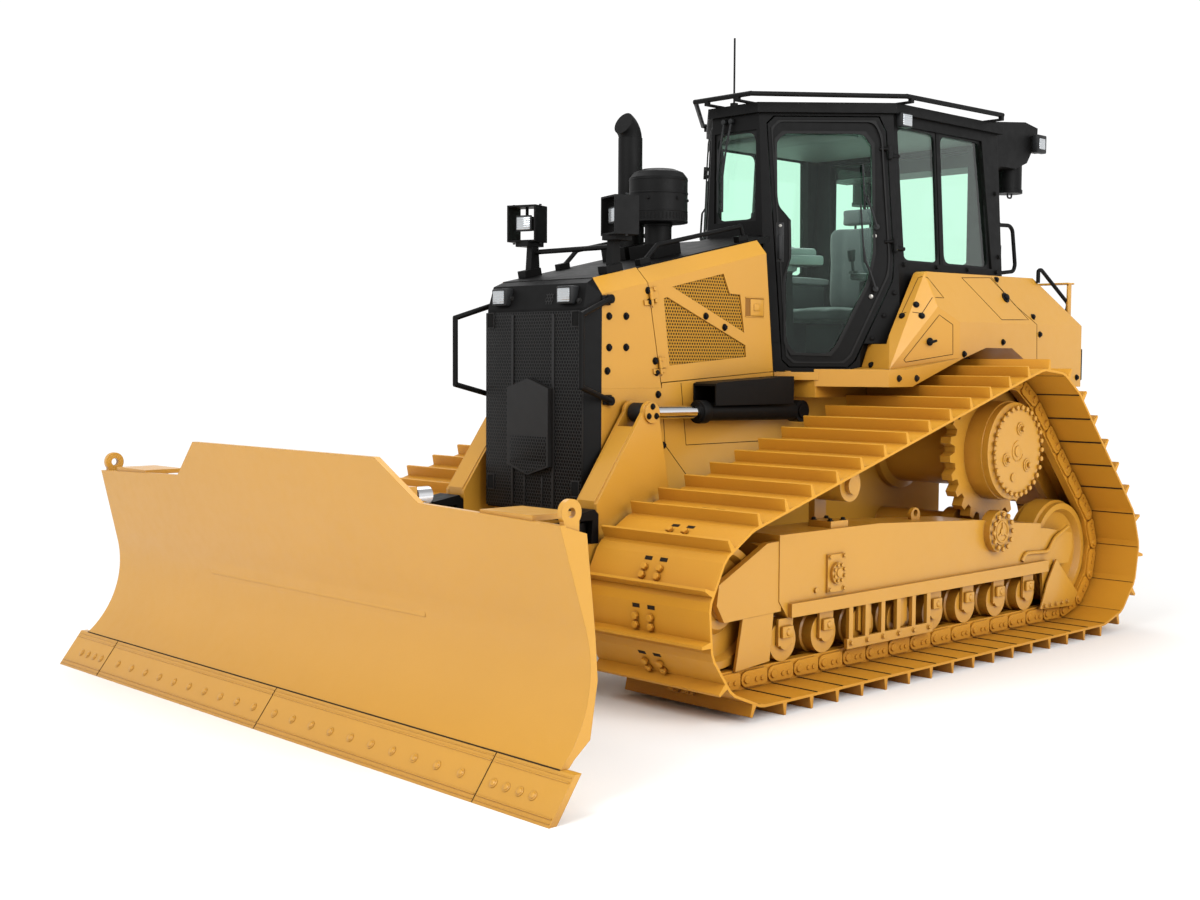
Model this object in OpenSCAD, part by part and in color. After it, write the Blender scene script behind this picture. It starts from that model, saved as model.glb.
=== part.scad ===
// Low-ground-pressure bulldozer with a six-way blade, in millimetres.
// +X points forward, +Y to the left of the machine, +Z up; the tracks and the blade stand on Z = 0.

/* [Tracks] */
// Distance between the track centre lines
gauge = 2160; // [2100:5:2300]
// Width of one track shoe
shoe_w = 840; // [700:5:860]
// Number of shoes in one track
shoe_n = 45; // [42:1:48]
// Height of the grouser bar above its shoe plate
grouser_h = 60; // [50:1:66]
// Thickness of the shoe plate
shoe_t = 14; // [10:1:18]
// Half of the height of a track link
link_h = 51; // [46:1:56]
// Radius of the pin line round the idlers
idler_pin_r = 375; // [360:1:390]
// Radius of the pin line round the sprocket
sprocket_pin_r = 435; // [425:1:445]
// Front idler centre along X
idler_front_x = 935; // [900:1:970]
// Rear idler centre along X
idler_rear_x = -2345; // [-2380:1:-2300]
// Sprocket centre along X
sprocket_x = -1617; // [-1650:1:-1590]
// Sprocket centre height
sprocket_z = 1176; // [1160:1:1190]
// Number of bottom rollers on one track
roller_n = 8; // [6:1:9]
// Radius of a bottom roller
roller_r = 105; // [95:1:112]
// Height of the roller frame
frame_h = 430; // [415:1:440]

/* [Blade] */
// Width over the end bits at the ground
blade_w = 4080; // [3980:5:4200]
// Width of the moldboard at its foot
moldboard_w = 3920; // [3860:5:3980]
// Width of the moldboard at its top
moldboard_top_w = 3776; // [3700:5:3850]
// Height of the moldboard at its ends
moldboard_z = 1085; // [1060:5:1100]
// Height of the raised middle of the moldboard
spill_z = 1292; // [1200:5:1350]
// Foremost point of the cutting edge
blade_x = 2835; // [2820:1:2860]
// Radius of the hollow of the moldboard
curve_r = 500; // [480:1:520]
// Height of the deepest line of the hollow
curve_z = 560; // [540:1:580]
// Forward lean of the upper moldboard in degrees
blade_lean = 15; // [13:1:17]
// Thickness of the moldboard plate
blade_t = 30; // [24:1:36]
// Bore of the lifting eyes on the blade
lift_hole_d = 40; // [30:1:50]

/* [Blade linkage] */
// Push frame pivot along X
lift_x = 560; // [540:1:580]
// Push frame pivot height
lift_z = 640; // [625:1:655]
// Blade swivel pin along X
swivel_x = 2130; // [2110:1:2140]
// Blade tilt pin height
tilt_z = 700; // [690:1:710]
// Lift cylinder distance from the hood side
lift_off = 100; // [97:1:104]
// Lift cylinder rear pin along X
lift_pin_x = -465; // [-480:1:-445]
// Lift cylinder rear pin height
lift_pin_z = 1420; // [1410:1:1430]
// Lift cylinder rod eye along X
lift_eye_x = 836; // [826:1:846]
// Lift cylinder rod eye height
lift_eye_z = 1437; // [1430:1:1445]
// Diameter of the cylinder pins
eye_d = 60; // [50:1:66]
// Free space between a pin and its bore, on the radius
pin_gap = 0.3; // [0.2:0.1:0.6]

/* [Hood] */
// Outer half width of the hood
hood_y = 430; // [420:1:436]
// Front face of the radiator guard along X
guard_x = 1108; // [1090:1:1120]
// Rear end of the hood panels along X
hood_rear_x = -330; // [-345:1:-320]
// Shoulder height of the hood at its front end
shoulder_z = 2050; // [2035:1:2065]
// Fall of the hood towards the front in degrees
hood_slope = 11.86; // [11.5:0.01:12.2]
// Height of the bevel along the hood edge
bevel_h = 88; // [76:1:96]
// Thickness of the sheet panels
panel_t = 25; // [18:1:32]
// Engine door front edge at its foot along X
door_front_x = 575; // [560:1:590]
// Seam between two panels
seam = 5; // [5:0.5:8]

/* [Cab] */
// Windscreen plane along X
cab_front_x = -505; // [-515:1:-500]
// Door to side window corner along X
cab_mid_x = -1090; // [-1100:1:-1080]
// Rear wall along X
cab_rear_x = -2240; // [-2250:1:-2200]
// Half width of the cab at its roof
cab_top_y = 730; // [710:1:750]
// Half width of the cab at its floor
cab_low_y = 822; // [810:1:835]
// Half width of the windscreen at the roof
screen_top_y = 185; // [180:1:200]
// Half width of the windscreen at the floor
screen_low_y = 260; // [250:1:275]
// Floor height of the cab
cab_z = 1640; // [1635:1:1660]
// Roof underside height
roof_z = 3180; // [3150:1:3220]
// Wall thickness of the cab
cab_t = 70; // [64:1:80]

/* [Rear body] */
// Outer half width of the rear body
body_y = 1040; // [1000:1:1080]
// Rear end of the rear body
body_rear_x = -2820; // [-2830:1:-2780]
// Top height of the rear body
body_top_z = 2255; // [2235:1:2275]
// Break line height of the rear body
body_break_z = 1950; // [1930:1:1970]
// Bore of the drawbar pin
drawbar_d = 60; // [50:1:70]

/* [Hidden] */
$fn = 48;
YELLOW = [0.93, 0.62, 0.13];
BLACK = [0.09, 0.09, 0.1];
STEEL = [0.55, 0.55, 0.57];
GLASS = [0.55, 0.68, 0.68];
fit = 0.3;
track_y = gauge / 2;
track_in = track_y - shoe_w / 2;
tip_h = link_h + shoe_t + grouser_h;
idler_z = idler_pin_r + tip_h;

// Left or right copy of a left-hand shape
module sided(s) {
    if (s > 0) children();
    else mirror([0, 1, 0]) children();
}

// Plate cut from an outline in the XZ plane, from y0 to y1
module slab(pts, y0, y1) {
    translate([0, y1, 0]) rotate([90, 0, 0]) linear_extrude(height = y1 - y0) polygon(pts);
}

// Bar with an outline in the YZ plane, from x0 to x1
module xslab(pts, x0, x1) {
    translate([x0, 0, 0]) rotate([90, 0, 90]) linear_extrude(height = x1 - x0) polygon(pts);
}

// Box given by its two corners
module box(a, b) {
    translate(a) cube([b[0] - a[0], b[1] - a[1], b[2] - a[2]]);
}

// Round bar along Y
module ybar(x, z, r, y0, y1) {
    translate([x, y1, z]) rotate([90, 0, 0]) cylinder(r = r, h = y1 - y0);
}

// Round bar along X
module xbar(y, z, r, x0, x1) {
    translate([x0, y, z]) rotate([0, 90, 0]) cylinder(r = r, h = x1 - x0);
}

// Turned part round an axis along Y, from a profile of radius and y
module yturn(x, z, pts) {
    translate([x, 0, z]) rotate([-90, 0, 0]) rotate_extrude() polygon(pts);
}

// Round bar between two points
module rod(a, b, r) {
    d = b - a;
    l = norm(d);
    translate(a) rotate([0, acos(d[2] / l), atan2(d[1], d[0])]) cylinder(r = r, h = l, $fn = 24);
}

// Bent tube through a list of points
module tube(pts, r) {
    for (i = [0:len(pts) - 2]) rod(pts[i], pts[i + 1], r);
    for (i = [1:len(pts) - 2]) translate(pts[i]) sphere(r = r + 0.8, $fn = 24);
}

// Track path: pulleys in order round the loop
pulleys = [[idler_front_x, idler_z, idler_pin_r], [sprocket_x, sprocket_z, sprocket_pin_r],
    [idler_rear_x, idler_z, idler_pin_r]];
function span(i) = [pulleys[(i + 1) % 3][0] - pulleys[i][0], pulleys[(i + 1) % 3][1] - pulleys[i][1]];
function lead(i) = atan2(span(i)[1], span(i)[0])
    - acos((pulleys[i][2] - pulleys[(i + 1) % 3][2]) / norm(span(i)));
function wrap(a) = a < 0 ? wrap(a + 360) : a >= 360 ? wrap(a - 360) : a;
function arc_in(i) = lead((i + 2) % 3);
function arc_turn(i) = wrap(lead(i) - arc_in(i));
function arc_len(i) = pulleys[i][2] * arc_turn(i) * PI / 180;
function run_len(i) = sqrt(pow(norm(span(i)), 2) - pow(pulleys[i][2] - pulleys[(i + 1) % 3][2], 2));
function piece_len(k) = k % 2 == 0 ? arc_len(floor(k / 2)) : run_len(floor(k / 2));
function upto(k) = k == 0 ? 0 : upto(k - 1) + piece_len(k - 1);
track_len = upto(6);
function rim(i, a) = [pulleys[i][0] + pulleys[i][2] * cos(a), pulleys[i][1] + pulleys[i][2] * sin(a)];
function on_piece(k, t) = k % 2 == 0
    ? rim(floor(k / 2), arc_in(floor(k / 2)) + t / pulleys[floor(k / 2)][2] * 180 / PI)
    : rim(floor(k / 2), lead(floor(k / 2))) + t * [-sin(lead(floor(k / 2))), cos(lead(floor(k / 2)))];
function at_len(s, k = 0) = s < piece_len(k) || k == 5 ? on_piece(k, s) : at_len(s - piece_len(k), k + 1);
pitch = track_len / shoe_n;
track_phase = 40;
pins = [for (i = [0:shoe_n - 1]) at_len((i * pitch + track_phase) % track_len)];
function pin(i) = pins[(i + shoe_n) % shoe_n];
function along(i) = (pin(i + 1) - pin(i)) / norm(pin(i + 1) - pin(i));
function outward(i) = [along(i)[1], -along(i)[0]];
function shoe_pt(i, a, h) = pin(i) + along(i) * a + outward(i) * h;

// Height of the grouser tips on the upper run at x
run_n = [cos(lead(0)), sin(lead(0))];
function tip_line(x) = let (p = rim(0, lead(0)) + tip_h * run_n) p[1] - (x - p[0]) * run_n[0] / run_n[1];

idler_r = idler_pin_r * cos(pitch / idler_pin_r * 90 / PI) - link_h - fit;
carrier_r = 91;
carrier_at = rim(0, lead(0)) + 1160 * [-run_n[1], run_n[0]] - (link_h + carrier_r + fit) * run_n;
sprocket_r = sprocket_pin_r + 15;
roller_z = tip_h + link_h + roller_r + fit;
frame_low = roller_z + roller_r + 14;
frame_top = frame_low + frame_h;
frame_in = track_y - 150;
frame_out = track_y + 155;
frame_front = idler_front_x - 394;
frame_rear = idler_rear_x + 335;
pivot_x = sprocket_x + 137;
pivot_z = frame_top - 130;
pivot_r = 92;

// One closed belt of shoes and two chains of links
module track(s) {
    top = link_h + shoe_t;
    outer = [for (i = [0:shoe_n - 1]) each [shoe_pt(i, 4, top), shoe_pt(i, 30, top), shoe_pt(i, 36, tip_h),
        shoe_pt(i, 50, tip_h), shoe_pt(i, 60, top), shoe_pt(i, pitch - 8, top)]];
    inner = [for (i = [0:shoe_n - 1]) each [shoe_pt(i, 8, link_h), shoe_pt(i, pitch - 14, link_h)]];
    rail_out = [for (i = [0:shoe_n - 1]) each [shoe_pt(i, 8, link_h + 1), shoe_pt(i, pitch - 14, link_h + 1)]];
    rail_in = [for (i = [0:shoe_n - 1]) each [shoe_pt(i, 26, -link_h), shoe_pt(i, pitch - 26, -link_h)]];
    sided(s) color(YELLOW) union() {
        belt(outer, inner, track_in, track_in + shoe_w);
        belt(rail_out, rail_in, track_y - 125, track_y - 75);
        belt(rail_out, rail_in, track_y + 75, track_y + 125);
    }
}

// Ring between two closed outlines
module belt(outer, inner, y0, y1) {
    translate([0, y1, 0]) rotate([90, 0, 0]) linear_extrude(height = y1 - y0) difference() {
        polygon(outer);
        polygon(inner);
    }
}

// Side plate that holds an idler; e is 1 at the front and -1 at the rear
module idler_yoke(e) {
    x = e > 0 ? idler_front_x : idler_rear_x;
    root = e > 0 ? frame_front : frame_rear;
    for (y = [frame_in, track_y + 114]) slab([[root - e * 20, idler_z - 60],
        [root - e * 20, frame_top - (e > 0 ? 30 : 150)], [root + e * 90, frame_top - (e > 0 ? 35 : 160)],
        [x + e * 60, idler_z + 120], [x + e * 75, idler_z + 20], [x + e * 20, idler_z - 70]], y, y + 36);
    slab([[x - e * 130, idler_z - 30], [root + e * 30, idler_z - 30], [root + e * 62, frame_low - 205],
        [x - e * 70, frame_low - 225]], track_y + 130, track_y + 147);
}

// Roller frame of one track with its idler yokes, pivot bosses and roller guard
module track_frame(s) {
    sided(s) color(YELLOW) difference() {
        union() {
            slab([[frame_front, frame_low + 90], [frame_front, frame_top], [-313, frame_top], [-1323, frame_top - 53],
                [-1659, frame_top - 92], [frame_rear, frame_top - 122], [frame_rear, frame_low + 40],
                [frame_rear + 50, frame_low], [frame_front - 70, frame_low]], frame_in, frame_out);
            ybar(pivot_x, pivot_z, 126, frame_in - 8, track_y - 75);
            ybar(pivot_x, pivot_z, 126, frame_out - 30, frame_out + 40);
            ybar(pivot_x, pivot_z, 80, frame_out + 39, frame_out + 48);
            xbar(track_y, frame_low + 240, 140, frame_front - 10, frame_front + 45);
            idler_yoke(1);
            idler_yoke(-1);
            slab([[frame_front - 70, frame_low + 75], [frame_front - 70, frame_low + 4], [frame_rear - 60, frame_low + 4],
                [frame_rear - 60, frame_low + 75]], frame_out - 10, frame_out + 27);
            box([-800, frame_out + 3, frame_low - 220], [0, frame_out + 25, frame_low - 165]);
            for (i = [0:5]) box([-775 + i * 145, frame_out + 3, frame_low - 175], [-740 + i * 145, frame_out + 25,
                frame_low + 12]);
            box([9, frame_out - 5, frame_low + 97], [159, frame_out + 12, frame_low + 297]);
            ybar(84, frame_low + 197, 58, frame_out + 11, frame_out + 30);
            box([-60, track_y - 20, frame_top - 5], [90, track_y + 130, frame_top + 35]);
            ybar(-860, frame_top - 5, 45, track_y - 12, track_y + 12);
        }
        ybar(-860, frame_top + 8, 20, track_y - 30, track_y + 30);
        ybar(sprocket_x, sprocket_z, sprocket_r + 15, track_y - 60, track_y + 60);
        ybar(pivot_x, pivot_z, pivot_r + fit, frame_in - 20, track_y - 90);
    }
}

// Front and rear idler of one track
module idlers(s) {
    sided(s) color(YELLOW) for (x = [idler_front_x, idler_rear_x]) translate([0, track_y, 0]) yturn(x, idler_z,
        [[0, -114], [60, -114], [60, -100], [idler_r, -100], [idler_r, -68], [idler_r + 18, -60], [idler_r + 18, 60],
        [idler_r, 68], [idler_r, 100], [idler_r - 38, 100], [idler_r - 60, 64], [140, 64], [110, 100], [60, 100],
        [60, 114], [0, 114]]);
}

// Bottom rollers and carrier roller of one track
module rollers(s) {
    first = frame_front - 61;
    step = (frame_rear + 130 - first) / (roller_n - 1);
    r = roller_r;
    sided(s) color(YELLOW) {
        for (i = [0:roller_n - 1]) translate([first + i * step, 0, 0]) union() {
            translate([0, track_y, 0]) yturn(0, roller_z, [[0, -150], [45, -150], [45, -130], [r, -130], [r, -68],
                [r + 11, -60], [r + 11, 60], [r, 68], [r, 130], [45, 130], [45, 150], [0, 150]]);
            for (y = [track_y - 150, track_y + 134]) box([-58, y, roller_z - 20], [58, y + 16, frame_low]);
        }
        union() {
            ybar(carrier_at[0], carrier_at[1], carrier_r, track_y - 100, track_y + 100);
            ybar(carrier_at[0], carrier_at[1], carrier_r - 40, track_y - 101, track_y + 128);
            box([carrier_at[0] - 50, track_y - 140, frame_top], [carrier_at[0] + 50, track_y - 99, carrier_at[1] + 40]);
        }
    }
}

// Toothed ring of one sprocket
module sprocket(s) {
    n = 25;
    a = 360 / n;
    r = sprocket_r;
    pts = [for (i = [0:n - 1]) each [for (k = [[0, r - 50], [0.35, r - 50], [0.48, r], [0.82, r]])
        (k[1]) * [cos((i + k[0]) * a), sin((i + k[0]) * a)]]];
    sided(s) color(YELLOW) difference() {
        translate([sprocket_x, track_y + 35, sprocket_z]) rotate([90, 0, 0]) linear_extrude(height = 70) polygon(pts);
        ybar(sprocket_x, sprocket_z, 300 + fit, track_y - 50, track_y + 50);
    }
}

// Final drive housing between the frame and the sprocket
module final_drive(s) {
    y = track_y;
    sided(s) color(YELLOW) yturn(sprocket_x, sprocket_z, [[0, hood_y], [270, hood_y], [270, hood_y + 40],
        [225, hood_y + 60], [225, y - 150], [300, y - 120], [300, y + 150], [293, y + 150], [293, y + 190],
        [262, y + 203], [262, y + 215], [0, y + 215]]);
}

guard_back = guard_x - 86;
bevel_w = bevel_h * 0.8;
function shoulder(x) = shoulder_z + (guard_back - x) * tan(hood_slope);
function hood_z(x) = shoulder(x) + bevel_h;
door_low_z = 1591;
door_rake = 0.2;
sill_rise = 0.0636;
function door_x(z) = door_front_x + (z - door_low_z) * door_rake;
function sill(x) = door_low_z + (door_front_x - x) * sill_rise;
frame_z = 1560;
belly_z = 560;
lift_y = hood_y + lift_off;
tower_gap = 56;
tower_t = 22;

// Welded main frame with its rear case, belly plate and pivot shafts
module main_frame() {
    end = hood_rear_x - 34;
    color(YELLOW) union() {
        for (s = [-1, 1]) sided(s) {
            slab([[guard_back, belly_z + 140], [guard_back, frame_z], [door_x(frame_z), frame_z],
                [door_x(frame_z), sill(door_x(frame_z)) - seam], [end, sill(end) - seam], [end, cab_z - 140],
                [-2100, cab_z - 140], [-2100, belly_z + 60], [-1900, belly_z], [850, belly_z]], hood_y - 40, hood_y);
            ybar(lift_x, lift_z, eye_d, hood_y - 5, track_in - 23);
            ybar(lift_x, lift_z, 110, hood_y - 5, hood_y + 20);
            box([-30, hood_y - 5, frame_top - 170], [110, frame_in, frame_top - 90]);
            ybar(pivot_x, pivot_z, pivot_r, hood_y - 5, track_y - 91);
        }
        box([-1900, 39 - hood_y, belly_z], [850, hood_y - 39, belly_z + 40]);
        box([-2100, 39 - hood_y, belly_z + 60], [-1100, hood_y - 39, cab_z - 140]);
        box([guard_back - 40, 39 - hood_y, belly_z + 200], [guard_back, hood_y - 39, belly_z + 340]);
    }
}

// Engine as one plain block on the frame
module engine() {
    color(BLACK) box([-250, -300, belly_z + 40], [760, 300, shoulder_z - 100]);
}

// Black surround of the radiator
module radiator_guard() {
    front = hood_y - 45;
    color(BLACK) difference() {
        translate([0, 0, guard_low]) linear_extrude(height = guard_high - guard_low)
            polygon([[guard_back, -hood_y], [guard_x, -front], [guard_x, front], [guard_back, hood_y]]);
        box([guard_back - 10, 50 - front, guard_low + 50], [guard_x + 10, front - 50, guard_high - 45]);
    }
}
guard_low = 900;
guard_high = shoulder_z - 77;
hex_z = 1359;

// Slotted grille door with its raised six-sided cover
module grille() {
    half = hood_y - 45;
    field = [[-half + 26, -184], [-150, 150], [184, half - 26]];
    rows = 3;
    row_h = (guard_high - guard_low - 110) / rows;
    hex = [[-165, -215], [0, -265], [165, -215], [165, 200], [0, 252], [-165, 200]];
    color(BLACK) union() {
        difference() {
            box([guard_x, -half, guard_low + 8], [guard_x + 12, half, guard_high - 8]);
            for (f = field) for (i = [0:floor((f[1] - f[0]) / 40) - 1]) for (j = [0:rows - 1])
                let (y = f[0] + 12 + i * (f[1] - f[0]) / floor((f[1] - f[0]) / 40),
                    z = guard_low + 60 + j * row_h)
                if (abs(y + 8) > 175 || j == rows - 1)
                    box([guard_x - 5, y, z], [guard_x + 20, y + 20, z + row_h - 16]);
        }
        for (y = [-163, 163]) box([guard_x + 11, y - 5, guard_low + 20], [guard_x + 18, y + 5, guard_high - 20]);
        xslab([for (p = hex) [p[0], p[1] + hex_z]], guard_x + 10, guard_x + 50);
    }
}

// Nose cowl over the radiator
module nose() {
    front = hood_y - 45;
    color(BLACK) union() {
        hull() {
            xslab([[-hood_y, guard_high], [hood_y, guard_high], [hood_y, shoulder_z], [hood_y - bevel_w, shoulder_z
                + bevel_h - 4], [bevel_w - hood_y, shoulder_z + bevel_h - 4], [-hood_y, shoulder_z]], guard_back,
                guard_back + 0.1);
            box([guard_x - 0.1, -front, guard_high], [guard_x, front, guard_high + 10]);
            box([guard_x - 33, -front + 10, shoulder_z + 57], [guard_x - 32, front - 10, shoulder_z + 58]);
        }
        for (y = [-1, 1]) box([guard_x - 40, y * 261 - 33, shoulder_z - 42], [guard_x + 26, y * 261 + 33,
            shoulder_z + 34]);
    }
}

// Frame whose X axis runs along the hood shoulder
module in_hood() {
    translate([guard_back, 0, shoulder_z]) rotate([0, hood_slope, 0]) children();
}
top_h = bevel_h * cos(hood_slope);

// Sloping hood top with its rear bulkhead
module hood_top() {
    half = hood_y - bevel_w;
    neck = screen_low_y - 60;
    color(BLACK) union() {
        intersection() {
            in_hood() box([-1700, -half, top_h - 34], [100, half, top_h]);
            union() {
                box([hood_rear_x - 75, -half, 1500], [guard_back, half, 3000]);
                box([cab_front_x + fit, -neck, 1500], [hood_rear_x, neck, 3000]);
            }
        }
        box([hood_rear_x - 70, 30 - half, sill(hood_rear_x) + 10], [hood_rear_x - 54, half - 30, hood_z(hood_rear_x)]);
    }
}

// Skin of one hood side: flat side and bevel, over the whole length
module hood_skin() {
    y = hood_y;
    w = bevel_w;
    in_hood() xslab([[y, -800], [y, 0], [y - w, top_h], [y - w, top_h - 30], [y - panel_t, -2], [y - panel_t, -800]],
        -1700, 100);
}

// Point on the engine door hinge line, a above its foot, moved b along X
function hinge_at(a, b) = [door_x(door_low_z + a) + b, door_low_z + a];

// Bar along the engine door hinge line, from a to b above its foot
module hinge_bar(a, b, r) {
    p = hinge_at(a, 0);
    q = hinge_at(b, 0);
    rod([p[0], hood_y + 11, p[1]], [q[0], hood_y + 11, q[1]], r);
}
hinges = [75, 440];

// Fixed hood sides ahead of the engine doors
module hood_sides() {
    color(YELLOW) for (s = [-1, 1]) sided(s) union() {
        intersection() {
            hood_skin();
            slab([[guard_back, frame_z], [guard_back, 2600], [door_x(2600) + seam, 2600], [door_x(frame_z) + seam,
                frame_z]], 0, hood_y + 50);
        }
        for (a = hinges) {
            hinge_bar(a - 30, a + 60, 6);
            hinge_bar(a - 30, a - 0.5, 10);
            slab([hinge_at(a - 30, 0), hinge_at(a - 4, 0), hinge_at(a - 4, 55), hinge_at(a - 30, 55)],
                hood_y - 2, hood_y + 8);
        }
    }
}

// Engine side door with two openings for its mesh
module engine_door(s) {
    y = hood_y;
    top = [hinge_at(516, -184), hinge_at(604, -619), hinge_at(495, -651), hinge_at(491, -740), hinge_at(278, -736)];
    low = [hinge_at(452, -106), hinge_at(459, -134), hinge_at(206, -732), hinge_at(141, -726), hinge_at(91, -83)];
    sided(s) color(YELLOW) difference() {
        union() {
            intersection() {
                hood_skin();
                slab([[door_front_x, sill(door_front_x)], [door_x(2600), 2600], [hood_rear_x + 67, 2600],
                    [hood_rear_x - 34, sill(hood_rear_x)]], hood_y - bevel_w + seam, hood_y + 50);
            }
            for (a = hinges) {
                hinge_bar(a, a + 60, 10);
                slab([hinge_at(a + 4, -4), hinge_at(a + 59, -4), hinge_at(a + 59, -55), hinge_at(a + 4, -55)],
                    y - 2, y + 8);
            }
        }
        for (a = hinges) hinge_bar(a - 40, a + 90, 6 + pin_gap);
        for (a = hinges) slab([hinge_at(a - 40, 30), hinge_at(a - 0.5, 30), hinge_at(a - 0.5, -14),
            hinge_at(a - 40, -14)], y - 4, y + 40);
        slab(top, y - 12, y + 20);
        slab(low, y - 12, y + 20);
    }
}

// Exhaust stack with its bent top
module exhaust() {
    x = 240;
    y = -150;
    color(BLACK) union() {
        in_hood() box([(x - guard_back) / cos(hood_slope) - 110, y - 95, top_h + fit],
            [(x - guard_back) / cos(hood_slope) + 110, y + 95, top_h + 75]);
        translate([x, y, hood_z(x) + 40]) cylinder(r = 82, h = 300);
        translate([x, y, hood_z(x) + 60]) cylinder(r = 70, h = 2985 - hood_z(x) - 60);
        translate([x + 100, y, 2975]) rotate([-90, 0, 0]) rotate([0, 0, 180]) rotate_extrude(angle = 65)
            translate([100, 0]) circle(r = 67);
    }
}

// Air pre-cleaner on its inlet pipe
module pre_cleaner() {
    x = 264;
    y = 100;
    color(BLACK) union() {
        in_hood() box([(x - guard_back) / cos(hood_slope) - 110, y - 95, top_h + fit],
            [(x - guard_back) / cos(hood_slope) + 110, y + 95, top_h + 75]);
        translate([x, y, hood_z(x) + 40]) cylinder(r = 76, h = 2500 - hood_z(x) - 40);
        translate([x, y, 2482]) rotate_extrude() polygon([[0, 0], [165, 0], [165, 250], [140, 282], [95, 300],
            [0, 300]]);
    }
}

// Work lamps in their guard frames on posts
module work_lamps() {
    x = 836;
    foot_x = (x - guard_back) / cos(hood_slope);
    color(BLACK) union() {
        for (s = [-1, 1]) sided(s) {
            in_hood() box([foot_x - 60, 290, top_h + fit], [foot_x + 60, 355, top_h + 40]);
            slab([[x - 35, hood_z(x) + 12], [x + 35, hood_z(x) + 12], [x + 22, 2372], [x - 22, 2372]], 300, 345);
            box([x - 60, 297, 2340], [x + 60, 400, 2372]);
            translate([x, 370, 2468]) rotate([0, 0, -20]) union() {
                difference() {
                    box([-70, -90, -102], [70, 90, 102]);
                    box([-90, -80, -92], [90, 80, 92]);
                }
                box([-30, -45, -36], [36, 45, 40]);
                translate([0, 0, 35]) cylinder(r = 9, h = 62);
            }
        }
        ybar(x - 10, 2310, 14, -310, 310);
    }
}

// Grab rails: beside the grille, on the hood edges and behind the cab
module grab_rails() {
    z = guard_high;
    color(BLACK) for (s = [-1, 1]) sided(s) {
        union() {
            rod([guard_x - 132, hood_y + 14, z + 53], [1246, hood_y + 80, z - 38], 15);
            rod([1240, hood_y + 78, z - 30], [1240, hood_y + 78, z - 408], 15);
            rod([1246, hood_y + 80, z - 400], [guard_x - 136, hood_y + 14, z - 476], 15);
            ybar(guard_x - 132, z + 53, 24, hood_y + fit, hood_y + 26);
            ybar(guard_x - 136, z - 476, 24, hood_y + fit, hood_y + 26);
        }
        rail = [for (p = [[590, 26], [500, 90], [-190, 90], [-215, 26]]) [p[0], 320, hood_z(p[0]) + p[1]]];
        union() {
            for (i = [0:2]) rod(rail[i], rail[i + 1], 13);
            for (i = [1:2]) translate(rail[i]) sphere(r = 13.4, $fn = 24);
            in_hood() for (x = [590, -215]) box([(x - guard_back) / cos(hood_slope) - 40, 300, top_h + fit],
                [(x - guard_back) / cos(hood_slope) + 40, 340, top_h + 34]);
        }
    }
}

// Plan of the cab, pulled in by t, at a height where f goes from 0 (floor) to 1 (roof)
function cab_plan(f, t) = let (
    w = screen_low_y + (screen_top_y - screen_low_y) * f,
    y = cab_low_y + (cab_top_y - cab_low_y) * f)
    [[cab_front_x - t, w - t * 0.4], [cab_mid_x - t * 0.2, y - t], [cab_rear_x + t, y - t],
    [cab_rear_x + t, -y + t], [cab_mid_x - t * 0.2, -y + t], [cab_front_x - t, -w + t * 0.4]];
function cab_f(z) = (z - cab_z) / (roof_z - cab_z);
shelf_z = cab_z + 175;

// Solid of the cab pulled in by t
module cab_body(t, z0, z1) {
    hull() {
        translate([0, 0, z0]) linear_extrude(height = 0.01) polygon(cab_plan(cab_f(z0), t));
        translate([0, 0, z1 - 0.01]) linear_extrude(height = 0.01) polygon(cab_plan(cab_f(z1), t));
    }
}

// Door plane: direction from the front corner to the rear corner, its length, and its outward normal
door_w = norm([cab_mid_x - cab_front_x, cab_low_y - screen_low_y]);
door_u = [cab_mid_x - cab_front_x, cab_low_y - screen_low_y] / door_w;
door_n = [door_u[1], -door_u[0]];
door_low = cab_z + 36;
door_high = roof_z - 22;

// Outline of the cab door: distance from the front corner and height
door_edge = [[96, door_low + 42], [140, door_low], [door_w - 326, door_low], [door_w - 283, door_low + 42],
    [door_w - 64, door_low + 520], [door_w - 57, door_low + 625], [door_w - 108, door_high - 90],
    [door_w - 150, door_high], [40, door_high], [-2, door_high - 42]];
// Outline of its pane, with the waist at the handle
pane_edge = [[118, door_low + 160], [160, door_low + 84], [door_w - 440, door_low + 78], [door_w - 395, door_low + 132],
    [door_w - 212, door_low + 508], [door_w - 178, door_low + 690], [door_w - 192, door_high - 170],
    [door_w - 245, door_high - 100], [100, door_high - 100], [54, door_high - 146], [60, door_low + 1010],
    [70, door_low + 950], [142, door_low + 870], [146, door_low + 650], [112, door_low + 540]];

// An outline grown by g away from a point inside it
function grown(pts, g) = let (c = [door_w / 2, (door_low + door_high) / 2])
    [for (p = pts) p + g * [sign(p[0] - c[0]), sign(p[1] - c[1])]];

// Prism square to the door plane over an outline
module door_prism(pts) {
    translate([cab_front_x, screen_low_y, 0]) rotate([0, 0, atan2(door_u[1], door_u[0])]) translate([0, 300, 0])
        rotate([90, 0, 0]) linear_extrude(height = 700) polygon(pts);
}

// Narrow foot of the cab between the tracks, pulled in by t
module cab_foot(t, z0, z1) {
    y = track_in - 10 - t;
    x = cab_front_x + 25 - t;
    m = cab_mid_x + 182 - t * 0.2;
    translate([0, 0, z0]) linear_extrude(height = z1 - z0) polygon([[x, screen_low_y - 10 - t * 0.4], [m, y],
        [cab_rear_x + t, y], [cab_rear_x + t, -y], [m, -y], [x, 10 - screen_low_y + t * 0.4]]);
}

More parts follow.
